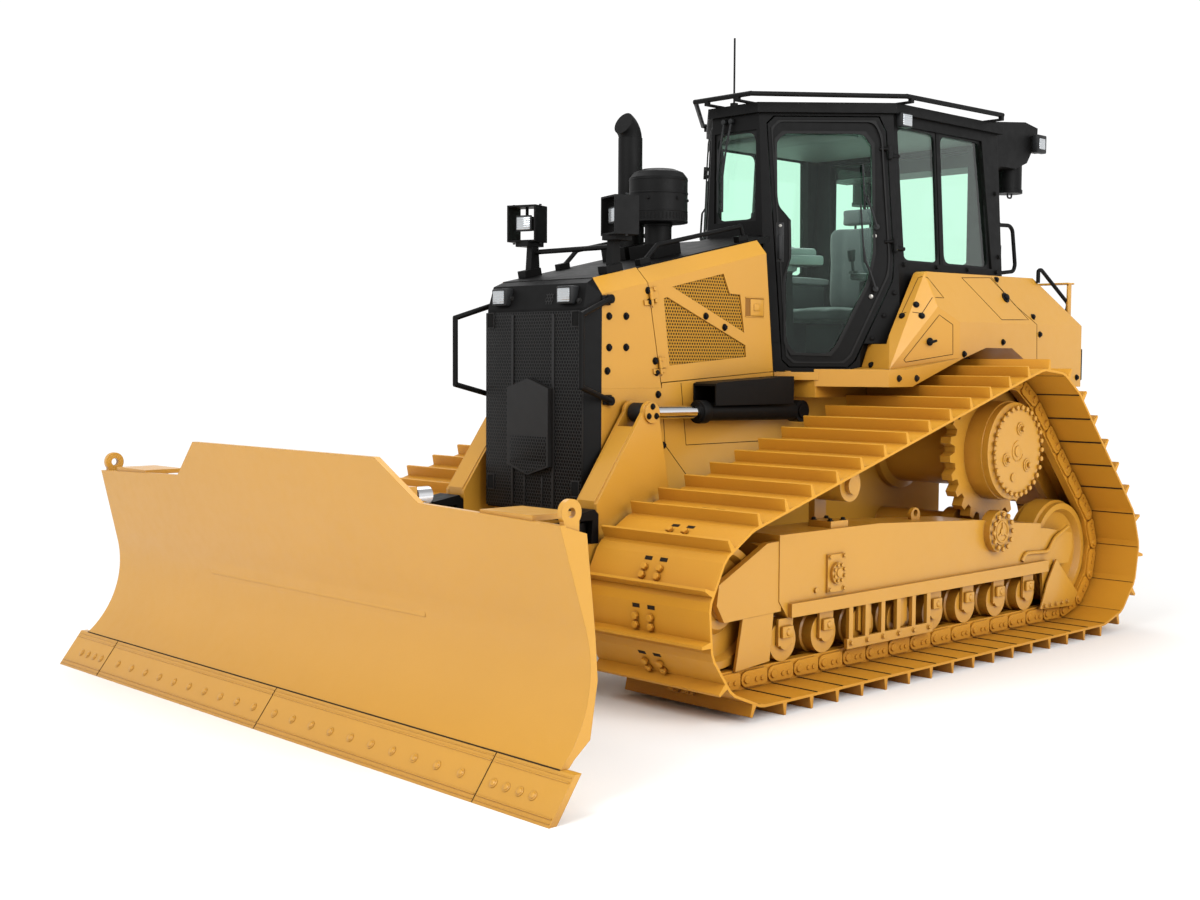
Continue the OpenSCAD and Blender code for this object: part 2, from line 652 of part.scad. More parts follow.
// Point of the cab door hinge line at height z
function door_hinge(z) = let (
    rise = (door_high - 90) - (door_low + 625),
    d = door_w - 43 - 51 * (z - door_low - 625) / rise,
    lean = (cab_low_y - cab_top_y) * 0.71 * cab_f(z),
    q = [cab_front_x, screen_low_y] + door_u * d + door_n * (17 - lean)) [q[0], q[1], z];
door_hinge_z = [cab_z + 760, cab_z + 1310];
to_cab = [-75, 8, 0];
to_door = [-door_u[0] * 55 - door_n[0] * 22, -door_u[1] * 55 - door_n[1] * 22, 0];

// Cab shell with its window and door openings
module cab_frame() {
    color(BLACK) union() {
        cab_shell();
        for (s = [-1, 1]) sided(s) {
            for (z = door_hinge_z) {
                rod(door_hinge(z - 40), door_hinge(z + 40), 8);
                rod(door_hinge(z - 40), door_hinge(z - 1), 14);
                rod(door_hinge(z - 20), door_hinge(z - 20) + to_cab, 12);
            }
            intersection() {
                difference() {
                    cab_body(12, cab_z, roof_z);
                    cab_body(48, cab_z - 10, roof_z + 10);
                }
                box([divider_x - 18, 0, cab_z + 640], [divider_x + 18, 1000, roof_z - 50]);
            }
        }
    }
}
divider_x = cab_mid_x - 480;

// Outline of the rear side window
side_window = [[cab_mid_x - 62, cab_z + 665], [cab_rear_x + 118, cab_z + 665], [cab_rear_x + 190, roof_z - 62],
    [cab_mid_x - 34, roof_z - 62]];

// Walls of the cab
module cab_shell() {
    difference() {
        union() {
            cab_body(0, shelf_z, roof_z);
            cab_foot(0, cab_z, shelf_z + 1);
        }
        cab_body(cab_t, shelf_z + 40, roof_z - 40);
        cab_foot(cab_t, cab_z + 40, shelf_z + 85);
        for (s = [-1, 1]) sided(s) door_prism(grown(door_edge, 6));
        box([cab_front_x - 200, -165, cab_z + 905], [cab_front_x + 100, 165, roof_z - 95]);
        slab(side_window, -1000, 1000);
        box([cab_rear_x - 100, -560, cab_z + 690], [cab_rear_x + 200, 560, roof_z - 100]);
    }
}

// Roof cap
module cab_roof() {
    color(BLACK) translate([0, 0, roof_z]) linear_extrude(height = 60) polygon(cab_plan(1, -28));
}

// Fixed panes of the cab
module cab_glass() {
    color(GLASS) {
        box([cab_front_x - 30, -165, cab_z + 905], [cab_front_x - 22, 165, roof_z - 95]);
        box([cab_rear_x + 22, -560, cab_z + 690], [cab_rear_x + 30, 560, roof_z - 100]);
        for (s = [-1, 1]) sided(s) difference() {
            intersection() {
                difference() {
                    cab_body(26, cab_z, roof_z);
                    cab_body(34, cab_z, roof_z);
                }
                slab(side_window, 0, 1000);
            }
            box([divider_x - 18 - fit, 0, cab_z], [divider_x + 18 + fit, 1000, roof_z]);
        }
    }
}

// Skin of the cab between two depths
module cab_skin(t0, t1) {
    difference() {
        cab_body(t0, cab_z - 30, roof_z + 10);
        cab_body(t1, cab_z - 40, roof_z + 20);
    }
}

// Hinged cab door, open round its pane
module cab_door(s) {
    sided(s) color(BLACK) difference() {
        union() {
            difference() {
                intersection() {
                    cab_skin(0, cab_t - 20);
                    door_prism(door_edge);
                }
                door_prism(pane_edge);
            }
            for (z = door_hinge_z) {
                rod(door_hinge(z), door_hinge(z + 40), 14);
                rod(door_hinge(z + 20), door_hinge(z + 20) + to_door, 12);
            }
        }
        for (z = door_hinge_z) rod(door_hinge(z - 60), door_hinge(z + 60), 8 + pin_gap);
    }
}

// Pane of a cab door
module door_glass(s) {
    sided(s) color(GLASS) intersection() {
        cab_skin(20, 28);
        door_prism(grown(pane_edge, -fit));
    }
}

// Operator's seat on its pedestal, with arm rests
module operator_seat() {
    z = cab_z + 40;
    color(BLACK) union() {
        box([-1700, -170, z], [-1380, 170, z + 270]);
        slab([[-1780, z + 265], [-1240, z + 285], [-1225, z + 350], [-1260, z + 385], [-1780, z + 370]], -255, 255);
        slab([[-1790, z + 300], [-1690, z + 320], [-1800, z + 1000], [-1850, z + 1040], [-1920, z + 1010]], -240, 240);
        for (y = [-330, 255 - 2]) slab([[-1800, z + 290], [-1280, z + 290], [-1250, z + 560], [-1330, z + 590],
            [-1760, z + 570]], y, y + 77);
    }
}

// Instrument console ahead of the operator
module console() {
    z = cab_z + 40;
    color(BLACK) union() {
        slab([[-700, z], [-860, z], [-830, z + 560], [-900, z + 700], [-720, z + 760], [-660, z + 640]], -190, 190);
        slab([[-790, z + 690], [-770, z + 690], [-800, z + 950], [-820, z + 950]], -120, 120);
    }
}

// Guard rails round the roof on their brackets
module roof_rails() {
    z = roof_z + 95;
    half = [[-2110, 845, z], [cab_mid_x - 20, 812, z], [-385, 218, z]];
    color(BLACK) union() {
        rod([-385, -226, z], [-385, 226, z], 15);
        for (s = [-1, 1]) sided(s) {
            rod(half[0], half[1] + [6, 0, 0], 15);
            rod(half[1] - [5, -5, 0], half[2] + [6, -6, 0], 14.4);
            bracket([-2095, 650], [-2095, 857]);
            bracket([cab_mid_x - 60, 640], [cab_mid_x - 60, 826]);
            bracket([-560, 120], [-373, 120]);
        }
    }
}

// Strap on the roof from p, turned up under the rail at q
module bracket(p, q) {
    d = (q - p) / norm(q - p);
    translate([p[0], p[1], roof_z + 60]) rotate([0, 0, atan2(d[1], d[0])]) union() {
        box([0, -14, 0], [norm(q - p), 14, 12]);
        box([norm(q - p) - 24, -14, 0], [norm(q - p), 14, 27]);
    }
}

// Whip antenna on its base
module antenna() {
    color(BLACK) union() {
        translate([-560, -60, roof_z + 60]) cylinder(r = 24, h = 30, $fn = 24);
        translate([-560, -60, roof_z + 85]) cylinder(r = 6, h = 395, $fn = 16);
    }
}

// Air-conditioning unit on the rear of the cab, with the filter bowl below
module air_unit() {
    x = cab_rear_x;
    z = roof_z;
    color(BLACK) union() {
        slab([[x, z - 190], [x, z - 2], [x - 30, z - 2], [x - 34, z + 90], [x - 410, z + 128], [x - 570, z + 104], [x - 566, z + 30],
            [x - 440, z - 140], [x - 300, z - 190]], -690, 690);
        for (s = [-1, 1]) sided(s) {
            translate([x - 380, 590, z - 342]) cylinder(r = 92, h = 24);
            translate([x - 380, 590, z - 320]) cylinder(r = 86, h = 220);
            box([x - 590, 660, z - 62], [x - 488, 738, z + 44]);
        }
    }
}

arch_z = sprocket_z + sprocket_pin_r + tip_h + 59;
side_y = cab_low_y + 3;
step_z = cab_z + 23;

// Lower edge of the rear body over the track, from front to rear
body_low = [[-640, tip_line(-880) + 18], [-880, tip_line(-880) + 18], [-1393, tip_line(-1393) + 32],
    [sprocket_x - 38, arch_z], [sprocket_x - 338, arch_z], [sprocket_x - 545, arch_z - 97], [-2480, arch_z - 247],
    [body_rear_x, arch_z - 247]];

// Fender and side tank, with its facets at the front and the arch over the track
module fender(s) {
    y = body_y;
    zt = body_top_z;
    m = cab_mid_x;
    sided(s) color(YELLOW) difference() {
        intersection() {
            slab(concat(body_low, [[body_rear_x, zt + 10], [-640, zt + 10]]), 600, 1200);
            hull() {
                slab([[m + 180, step_z + fit], [m - 90, zt - 22], [-2424, zt], [body_rear_x, body_break_z],
                    [body_rear_x, 1500], [m + 180, 1500]], track_in - 5, track_in - 4);
                slab([[m - 97, zt - 22], [m - 119, zt - 9], [-2424, zt], [-2424, zt - 10]], y - 226, y - 140);
                box([m + 267, y - 121, 1500], [m + 268, y - 120, step_z + 2]);
                box([m - 97, y - 40, body_break_z + 83], [m - 96, y - 39, body_break_z + 84]);
                slab([[m - 274, body_break_z - 3], [m - 281, body_break_z - 218], [m - 281, 1500], [body_rear_x, 1500],
                    [body_rear_x, body_break_z]], y - 2, y);
            }
        }
        box([cab_rear_x - 5, 0, shelf_z - 3], [m + 400, side_y, zt + 20]);
        box([body_rear_x - 10, 0, shelf_z + 15], [cab_rear_x + 1, side_y, zt + 20]);
        box([body_rear_x - 10, 0, 1000], [cab_rear_x + 1, track_in - 20, zt + 20]);
        slab([[m - 281, 1400], [m + 400, 1400], [m + 400, step_z + fit], [m + 267, step_z + fit],
            [m - 281, step_z + 69 + fit]], 0, 1200);
    }
}

// Tank and tail between the fenders
module rear_tank() {
    x = cab_rear_x - 5;
    half = track_in - 20;
    color(YELLOW) union() {
        slab([[x, cab_z - 140], [x, shelf_z + 85], [body_rear_x, shelf_z + 85], [body_rear_x, 1300], [-2400, 1300]],
            -half, half);
        slab([[x, shelf_z + 15], [x, body_top_z], [-2424, body_top_z], [body_rear_x, body_break_z],
            [body_rear_x, shelf_z + 15]], -side_y, side_y);
    }
}

// Deck under the cab with the steps over the tracks
module deck() {
    y0 = track_in - 5;
    x0 = hood_rear_x - 42;
    xr = cab_mid_x - 281;
    color(YELLOW) union() {
        box([cab_rear_x - 5, -track_in + 10, cab_z - 140], [cab_front_x + 25, track_in - 10, cab_z]);
        for (s = [-1, 1]) sided(s) {
            difference() {
                intersection() {
                    slab([[-400, step_z], [-400, tip_line(-880) + 18], [-880, tip_line(-880) + 18],
                        [xr, tip_line(xr) + 31], [xr, step_z + 69], [cab_mid_x + 267, step_z]], 0, 1200);
                    linear_extrude(height = 4000) polygon([[x0 - 106, y0 - 15], [-650, body_y], [xr - 5, body_y],
                        [xr - 5, y0 - 15]]);
                }
                box([-2000, 0, cab_z], [-800, track_in - 10 + fit, cab_z + 200]);
            }
            translate([0, 0, cab_z - 40]) linear_extrude(height = 45) polygon([[x0, hood_y + fit], [x0 - 112, y0 + 10],
                [x0 - 260, y0 + 10], [x0 - 260, hood_y + fit]]);
        }
    }
}

// Drawbar with its pin bore
module drawbar() {
    color(YELLOW) difference() {
        union() {
            box([-2420, -100, 760], [-2100, 100, 860]);
            translate([-2420, 0, 760]) cylinder(r = 118, h = 100);
        }
        translate([-2420, 0, 700]) cylinder(r = drawbar_d / 2, h = 300);
    }
}

// Hoods over the lift cylinders
module cylinder_guards() {
    y1 = lift_y + 70;
    color(BLACK) for (s = [-1, 1]) sided(s) {
        difference() {
            slab([[-348, 1465], [320, 1465], [320, 1583], [290, 1592], [-348, 1622]], hood_y, y1);
            slab([[-400, 1400], [400, 1400], [400, 1568], [-400, 1600]], hood_y + 10, y1 - 10);
        }
        union() {
            ybar(lift_pin_x, lift_pin_z, eye_d - 16, hood_y, lift_y - 40 - fit);
            ybar(lift_pin_x, lift_pin_z, eye_d / 2, lift_y - 42, lift_y + 46);
            ybar(lift_pin_x, lift_pin_z, eye_d / 2 + 10, lift_y + 40 + fit, lift_y + 50);
        }
    }
}

// Angle cylinder pin on the push frame and on the yoke, and the height of both
angle_a = [1310, lift_y + 10];
angle_b = [swivel_x + 95, lift_y + 70];
angle_z = lift_z + 210;
angle_dir = (angle_b - angle_a) / norm(angle_b - angle_a);
arm_z = lift_z + 150;

// Push frame with its lift towers
module push_frame() {
    y0 = hood_y + 25;
    y1 = track_in - 25;
    ex = lift_eye_x;
    ez = lift_eye_z;
    color(YELLOW) difference() {
        union() {
            for (s = [-1, 1]) sided(s) {
                slab([[lift_x - 115, lift_z - 85], [lift_x - 115, lift_z + 65], [lift_x + 60, arm_z], [1330, arm_z],
                    [1620, lift_z + 55], [1620, lift_z - 140], [1200, lift_z - 160], [lift_x + 60, lift_z - 120]], y0, y1);
                for (y = [lift_y - tower_gap - tower_t, lift_y + tower_gap]) {
                    slab([[1225, arm_z - 20], [1225, 985], [ex + 56, ez + 10], [ex - 56, ez + 10], [705, 1083],
                        [lift_x + 80, arm_z - 20]], y, y + tower_t);
                    ybar(ex, ez, 61, y, y + tower_t);
                }
                ybar(ex, ez, 54, lift_y + tower_gap + tower_t - 1, lift_y + tower_gap + tower_t + 12);
                slab([[1203, arm_z - 10], [1203, 990], [930, 1352], [950, 1368], [1223, 1000], [1223, arm_z - 10]],
                    lift_y - tower_gap - 5, lift_y + tower_gap + 5);
                translate([angle_a[0], angle_a[1], arm_z - 30]) cylinder(r = eye_d / 2, h = angle_z + 82 - arm_z);
            }
            box([1500, 5 - y1, lift_z - 138], [1700, y1 - 5, lift_z + 52]);
            slab([[1690, lift_z - 160], [1690, lift_z - 70], [swivel_x, lift_z - 70], [swivel_x, lift_z - 160]],
                -115, 115);
            translate([swivel_x, 0, lift_z - 160]) cylinder(r = 130, h = 90);
        }
        for (s = [-1, 1]) sided(s) {
            ybar(lift_x, lift_z, eye_d + pin_gap, y0 - 20, y1 + 20);
            ybar(lift_x, lift_z, 116, y0 - 20, y0 + 1);
        }
        translate([swivel_x, 0, lift_z - 300]) cylinder(r = 70 + pin_gap, h = 400);
    }
}

// Covers over the rear ends of the angle cylinders
module angle_guards() {
    z = angle_z;
    color(BLACK) for (s = [-1, 1]) sided(s) difference() {
        slab([[1227, z + 88], [1227, arm_z + fit], [1275, arm_z + fit], [1268, z + 58], [1350, z + 58], [1415, z + 62],
            [1430, z + 85], [1255, z + 112]], lift_y - 75, lift_y + 95);
        translate([angle_a[0], angle_a[1], arm_z - 40]) cylinder(r = 62, h = angle_z + 50 - arm_z + 40);
    }
}

// Tilt cylinder pins: on the yoke and on the blade
tilt_x = swivel_x + 160;
tilt_cz = tilt_z + 390;
tilt_ya = -40;
tilt_yb = 560;
yoke_z = lift_z - 65;

// Yoke that swings the blade and carries its tilt pin
module blade_yoke() {
    color(YELLOW) union() {
        translate([swivel_x, 0, yoke_z - 135]) cylinder(r = 70, h = 160);
        translate([swivel_x, 0, yoke_z]) cylinder(r = 150, h = 65);
        box([swivel_x, -100, yoke_z + 5], [swivel_x + 195, 100, yoke_z + 75]);
        box([swivel_x + 100, -690, yoke_z + 60], [swivel_x + 190, 690, tilt_z + 60]);
        for (s = [-1, 1]) sided(s) {
            box([angle_b[0] - 15, angle_b[1] - 48, tilt_z + 40], [angle_b[0] + 50, angle_b[1] + 48, angle_z - 46]);
            translate([angle_b[0], angle_b[1], angle_z - 62]) cylinder(r = 60, h = 16);
            translate([angle_b[0], angle_b[1], angle_z + 46]) cylinder(r = 60, h = 16);
            box([angle_b[0] + 94, angle_b[1] - 45, angle_z - 90], [angle_b[0] + 108, angle_b[1] + 45, angle_z + 61]);
            box([angle_b[0] + 5, angle_b[1] - 42, angle_z + 47], [angle_b[0] + 100, angle_b[1] + 42, angle_z + 60]);
        }
        box([swivel_x + 102, tilt_ya - 45, tilt_z + 50], [swivel_x + 112, tilt_ya + 45, tilt_cz + 50]);
        xbar(tilt_ya, tilt_cz, 25, swivel_x + 108, swivel_x + 203);
        xbar(0, tilt_z, 55, swivel_x + 150, swivel_x + 250);
    }
}

// Moldboard section: foot, centre of the hollow and the straight upper part
foot = [blade_x - 129, 174];
curve_c = [foot[0] + sqrt(curve_r * curve_r - pow(curve_z - foot[1], 2)), curve_z];
function on_curve(r, a) = curve_c + r * [-cos(a), sin(a)];
function on_lean(t, z) = let (p = on_curve(curve_r + t, blade_lean)) [p[0] + (z - p[1]) * tan(blade_lean), z];
foot_a = asin((curve_z - foot[1]) / curve_r);
// Points up the hollow at depth t behind its face, to height z
function up_face(t, z) = concat([for (i = [0:7]) on_curve(curve_r + t, -foot_a + i * (foot_a + blade_lean) / 7)],
    [on_lean(t, z)]);

// Outline of the moldboard seen from the front, as a solid
module blade_outline() {
    translate([2000, 0, 0]) xslab([[-moldboard_w / 2, foot[1]], [moldboard_w / 2, foot[1]],
        [moldboard_top_w / 2, moldboard_z], [1018, moldboard_z + 24], [772, spill_z], [-772, spill_z],
        [-1018, moldboard_z + 24], [-moldboard_top_w / 2, moldboard_z]], 0, 1600);
}

// A length past both ends of the blade
past_end = max(blade_w, moldboard_top_w) / 2 + 60;

// Curved plate of the moldboard
module moldboard() {
    intersection() {
        union() {
            intersection() {
                difference() {
                    ybar(curve_c[0], curve_c[1], curve_r + blade_t, -past_end, past_end);
                    ybar(curve_c[0], curve_c[1], curve_r, -past_end - 50, past_end + 50);
                }
                slab([curve_c, on_curve(800, -foot_a - 4), on_curve(800, 0), on_curve(800, blade_lean)],
                    -past_end - 50, past_end + 50);
            }
            slab([on_curve(curve_r, blade_lean - 0.01), on_lean(0, 1400), on_lean(blade_t, 1400),
                on_curve(curve_r + blade_t, blade_lean - 0.01)], -past_end, past_end);
        }
        blade_outline();
    }
}

// End plates of the moldboard, leaning with its ends
module end_plates() {
    k = (moldboard_w - moldboard_top_w) / 2 / (moldboard_z - foot[1]);
    w = moldboard_w / 2 - 26;
    difference() {
        intersection() {
            slab(concat(up_face(4, moldboard_z), [[foot[0] - 198, moldboard_z - 40], [foot[0] - 216, curve_z + 80],
                [foot[0] - 216, curve_z - 80], [foot[0] - 161, foot[1] + 88],
                [foot[0] - 36, foot[1] + 1]]), -past_end, past_end);
            blade_outline();
        }
        translate([2000, 0, 0]) xslab([[-w - 200 * k, foot[1] - 200], [w + 200 * k, foot[1] - 200],
            [w - 1300 * k, foot[1] + 1300], [-w + 1300 * k, foot[1] + 1300]], 0, 1600);
    }
}
lift_hole = [blade_x - 255, moldboard_z + 45];
lift_hole_y = moldboard_top_w / 2 - 18;

// Moldboard with its back frame, end plates and lifting eyes
module blade() {
    back = swivel_x + 210;
    rib_out = moldboard_w / 2 - 490;
    rib = concat(up_face(14, moldboard_z - 50), [[back + 150, moldboard_z - 50], [back + 95, 880], [back + 95, 400],
        [back + 130, foot[1] + 60]]);
    color(YELLOW) difference() {
        union() {
            moldboard();
            end_plates();
            box([back, -900, 600], [back + 40, 900, 800]);
            for (z = [600, 770]) box([back + 30, -900, z], [on_lean(15, 700)[0], 900, z + 30]);
            intersection() {
                blade_outline();
                for (y = [-rib_out - 30, -900, 870, rib_out]) slab(rib, y, y + 30);
            }
            box([back + 96, -rib_out - 30, 960], [on_lean(12, 960)[0], rib_out + 30, 1000]);
            box([back + 96, -rib_out - 30, 300],
                [on_curve(curve_r + 12, -asin((curve_z - 320) / curve_r))[0], rib_out + 30, 340]);
            for (s = [-1, 1]) sided(s) {
                box([back + 70, rib_out - 70, moldboard_z + 3], [on_lean(12, moldboard_z + 3)[0], rib_out + 250,
                    moldboard_z + 26]);
                box([back + 120, rib_out + 5, moldboard_z - 80], [on_lean(12, moldboard_z - 80)[0], rib_out + 25,
                    moldboard_z + 10]);
                ybar(lift_hole[0], lift_hole[1], 52, lift_hole_y - 13, lift_hole_y + 12);
                box([lift_hole[0] - 40, lift_hole_y - 13, moldboard_z - 40], [lift_hole[0] + 40, lift_hole_y + 12,
                    lift_hole[1] - 20]);
            }
            box([back + 5, tilt_yb - 45, tilt_cz - 45], [on_lean(12, tilt_cz)[0], tilt_yb + 45, tilt_cz + 45]);
        }
        xbar(0, tilt_z, 55 + pin_gap, back - 10, back + 60);
        for (s = [-1, 1]) sided(s) ybar(lift_hole[0], lift_hole[1], lift_hole_d / 2, lift_hole_y - 40, lift_hole_y + 40);
    }
}

// Cutting edge and end bits
module cutting_edge() {
    color(YELLOW) slab([[blade_x, 0], [foot[0], foot[1]], [foot[0] - 35, foot[1]], [blade_x - 40, 0]],
        -blade_w / 2, blade_w / 2);
}

lift_len = norm([lift_eye_x - lift_pin_x, lift_eye_z - lift_pin_z]);
lift_r = 50;

// Frame of a lift cylinder: its axis lies along X from the rear pin
module lift_axis() {
    translate([lift_pin_x, lift_y, lift_pin_z]) rotate([0, -atan2(lift_eye_z - lift_pin_z, lift_eye_x - lift_pin_x), 0])
        children();
}

// Lift cylinder barrel
module lift_barrel(s) {
    l = lift_len;
    sided(s) color(BLACK) lift_axis() difference() {
        union() {
            xbar(0, 0, lift_r, 50, l - 440);
            xbar(0, 0, lift_r + 4, l - 510, l - 430);
            ybar(0, 0, eye_d + 3, -40, 40);
        }
        xbar(0, 0, 35 + pin_gap, 110, l - 400);
        ybar(0, 0, eye_d / 2 + pin_gap, -60, 60);
    }
}

// Lift cylinder rod with its eye and pin
module lift_rod(s) {
    l = lift_len;
    sided(s) color(STEEL) lift_axis() union() {
        xbar(0, 0, 35, 500, l - 20);
        ybar(l, 0, 47, -45, 45);
        ybar(l, 0, eye_d / 2, fit - tower_gap, tower_gap - fit);
    }
}

angle_len = norm(angle_b - angle_a);

// Frame of an angle cylinder: its axis lies along X from the rear pin
module angle_axis() {
    translate([angle_a[0], angle_a[1], angle_z]) rotate([0, 0, atan2(angle_dir[1], angle_dir[0])]) children();
}

// Angle cylinder barrel
module angle_barrel(s) {
    sided(s) color(BLACK) angle_axis() difference() {
        union() {
            xbar(0, 0, 52, 30, angle_len - 370);
            translate([0, 0, -45]) cylinder(r = 56, h = 90);
        }
        xbar(0, 0, 30 + pin_gap, 75, angle_len);
        translate([0, 0, -100]) cylinder(r = eye_d / 2 + pin_gap, h = 200);
    }
}

// Angle cylinder rod with its eye and pin
module angle_rod(s) {
    l = angle_len;
    sided(s) color(STEEL) angle_axis() union() {
        xbar(0, 0, 30, 370, l - 20);
        translate([l, 0, -40]) cylinder(r = 50, h = 80);
        translate([l, 0, fit - 46]) cylinder(r = eye_d / 2, h = 92 - 2 * fit);
    }
}

// Tilt cylinder barrel
module tilt_barrel() {
    color(BLACK) difference() {
        union() {
            ybar(tilt_x, tilt_cz, 42, tilt_ya + 30, tilt_ya + 400);
            xbar(tilt_ya, tilt_cz, 44, tilt_x - 40, tilt_x + 40);
        }
        ybar(tilt_x, tilt_cz, 22 + pin_gap, tilt_ya + 60, tilt_ya + 420);
        xbar(tilt_ya, tilt_cz, 25 + pin_gap, tilt_x - 60, tilt_x + 60);
    }
}

// Tilt cylinder rod with its eye and pin
module tilt_rod() {
    color(STEEL) union() {
        ybar(tilt_x, tilt_cz, 22, tilt_ya + 150, tilt_yb - 20);
        xbar(tilt_yb, tilt_cz, 40, tilt_x - 40, tilt_x + 40);
        xbar(tilt_yb, tilt_cz, 25, tilt_x + 30, tilt_x + 55 - fit);
    }
}

track(1);  // track_left
track(-1);  // track_right
track_frame(1);  // track_frame_left
track_frame(-1);  // track_frame_right
idlers(1);  // idlers_left
idlers(-1);  // idlers_right
rollers(1);  // rollers_left
rollers(-1);  // rollers_right
sprocket(1);  // sprocket_left
sprocket(-1);  // sprocket_right
final_drive(1);  // final_drive_left
final_drive(-1);  // final_drive_right
main_frame();
engine();
radiator_guard();
grille();
nose();
hood_top();
hood_sides();
engine_door(1);  // engine_door_left
engine_door(-1);  // engine_door_right
exhaust();
pre_cleaner();
work_lamps();
grab_rails();
cab_frame();
cab_roof();
cab_glass();
cab_door(1);  // cab_door_left
cab_door(-1);  // cab_door_right
door_glass(1);  // door_glass_left
door_glass(-1);  // door_glass_right
operator_seat();
console();
roof_rails();
antenna();
air_unit();
fender(1);  // fender_left
fender(-1);  // fender_right
rear_tank();
deck();
drawbar();
cylinder_guards();
push_frame();
angle_guards();
blade_yoke();
blade();
cutting_edge();
lift_barrel(1);  // lift_barrel_left
lift_barrel(-1);  // lift_barrel_right
lift_rod(1);  // lift_rod_left
lift_rod(-1);  // lift_rod_right
angle_barrel(1);  // angle_barrel_left
angle_barrel(-1);  // angle_barrel_right
angle_rod(1);  // angle_rod_left
angle_rod(-1);  // angle_rod_right
tilt_barrel();
tilt_rod();
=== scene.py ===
import math

import bmesh
import bpy
from bpy.props import FloatProperty, FloatVectorProperty, IntProperty, PointerProperty
from mathutils import Matrix, Quaternion, Vector


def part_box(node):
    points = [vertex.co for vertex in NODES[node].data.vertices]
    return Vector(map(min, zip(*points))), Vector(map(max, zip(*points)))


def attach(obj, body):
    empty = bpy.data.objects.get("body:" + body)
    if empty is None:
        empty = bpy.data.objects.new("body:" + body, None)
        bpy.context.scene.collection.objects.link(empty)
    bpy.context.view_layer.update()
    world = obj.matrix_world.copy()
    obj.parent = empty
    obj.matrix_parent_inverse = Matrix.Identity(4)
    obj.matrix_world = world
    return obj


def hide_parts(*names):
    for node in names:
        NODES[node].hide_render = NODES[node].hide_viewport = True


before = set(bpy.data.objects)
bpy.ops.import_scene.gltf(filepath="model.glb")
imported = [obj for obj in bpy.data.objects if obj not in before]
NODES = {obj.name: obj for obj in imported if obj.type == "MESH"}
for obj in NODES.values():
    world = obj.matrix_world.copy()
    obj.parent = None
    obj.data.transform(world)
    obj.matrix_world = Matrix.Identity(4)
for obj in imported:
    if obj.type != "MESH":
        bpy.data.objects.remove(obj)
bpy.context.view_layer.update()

bl_info = {
    "name": "Bulldozer looks",
    "version": (1, 0, 0),
    "blender": (4, 5, 0),
    "location": "View3D > Sidebar > Dozer",
    "description": "Paint, fasteners, lamps, cab fittings and stage for the bulldozer",
    "category": "Object",
}

SIDES = (("left", 1), ("right", -1))


# Sizes and colours a user would change
class DozerPaint(bpy.types.PropertyGroup):
    yellow: FloatVectorProperty(name="Yellow", description="Machine yellow enamel, sRGB",
                                subtype="COLOR_GAMMA", size=3, default=(0.758, 0.551, 0.179))
    black: FloatVectorProperty(name="Black", description="Satin black enamel, sRGB", subtype="COLOR_GAMMA",
                               size=3, default=(0.052, 0.052, 0.053))
    glass: FloatVectorProperty(name="Glass", description="Green tint of the safety glass, sRGB",
                               subtype="COLOR_GAMMA", size=3, default=(0.94, 1.0, 0.97))


class DozerSizes(bpy.types.PropertyGroup):
    bolt: FloatProperty(name="Bolt", description="Width of a body bolt head", unit="LENGTH", default=0.024)
    screen_pitch: FloatProperty(name="Screen pitch", description="Spacing of the holes in the screens",
                                unit="LENGTH", default=0.020)
    shoe_bolt: FloatProperty(name="Shoe bolt", description="Width of a track shoe bolt head", unit="LENGTH",
                             default=0.034)
    edge_bolts: IntProperty(name="Edge bolts", description="Bolts in each middle cutting edge", default=10)


def mm(*v):
    """Vector in metres from millimetres."""
    return Vector(v) * 0.001


def linear(colour):
    """Linear RGBA of an sRGB colour, from a hex code or a colour property."""
    if isinstance(colour, str):
        colour = [int(colour[i:i + 2], 16) / 255 for i in (0, 2, 4)]
    return tuple(v / 12.92 if v <= 0.04045 else ((v + 0.055) / 1.055) ** 2.4 for v in colour) + (1.0,)


def scaled(colour, *shares):
    """Colour with its channels multiplied by one share, or by one each."""
    return tuple(c * shares[i % len(shares)] for i, c in enumerate(colour[:3])) + (1.0,)


def add(tree, kind, links=None, **settings):
    """Add a shader node with its settings, values and links; a node as a value is its first live output."""
    node = tree.nodes.new("ShaderNode" + kind)
    for key, value in settings.items():
        setattr(node, key, value)
    for key, value in (links or {}).items():
        if isinstance(value, bpy.types.Node):
            value = next(out for out in value.outputs if out.enabled)
        if isinstance(value, bpy.types.NodeSocket):
            tree.links.new(value, node.inputs[key])
        else:
            node.inputs[key].default_value = value
    return node


def new_material(name):
    """Node tree of a new, empty material, and the Object coordinates that its patterns read."""
    mat = bpy.data.materials.new(name)
    mat.use_nodes = True
    mat.node_tree.nodes.clear()
    return mat.node_tree, add(mat.node_tree, "TexCoord").outputs["Object"]


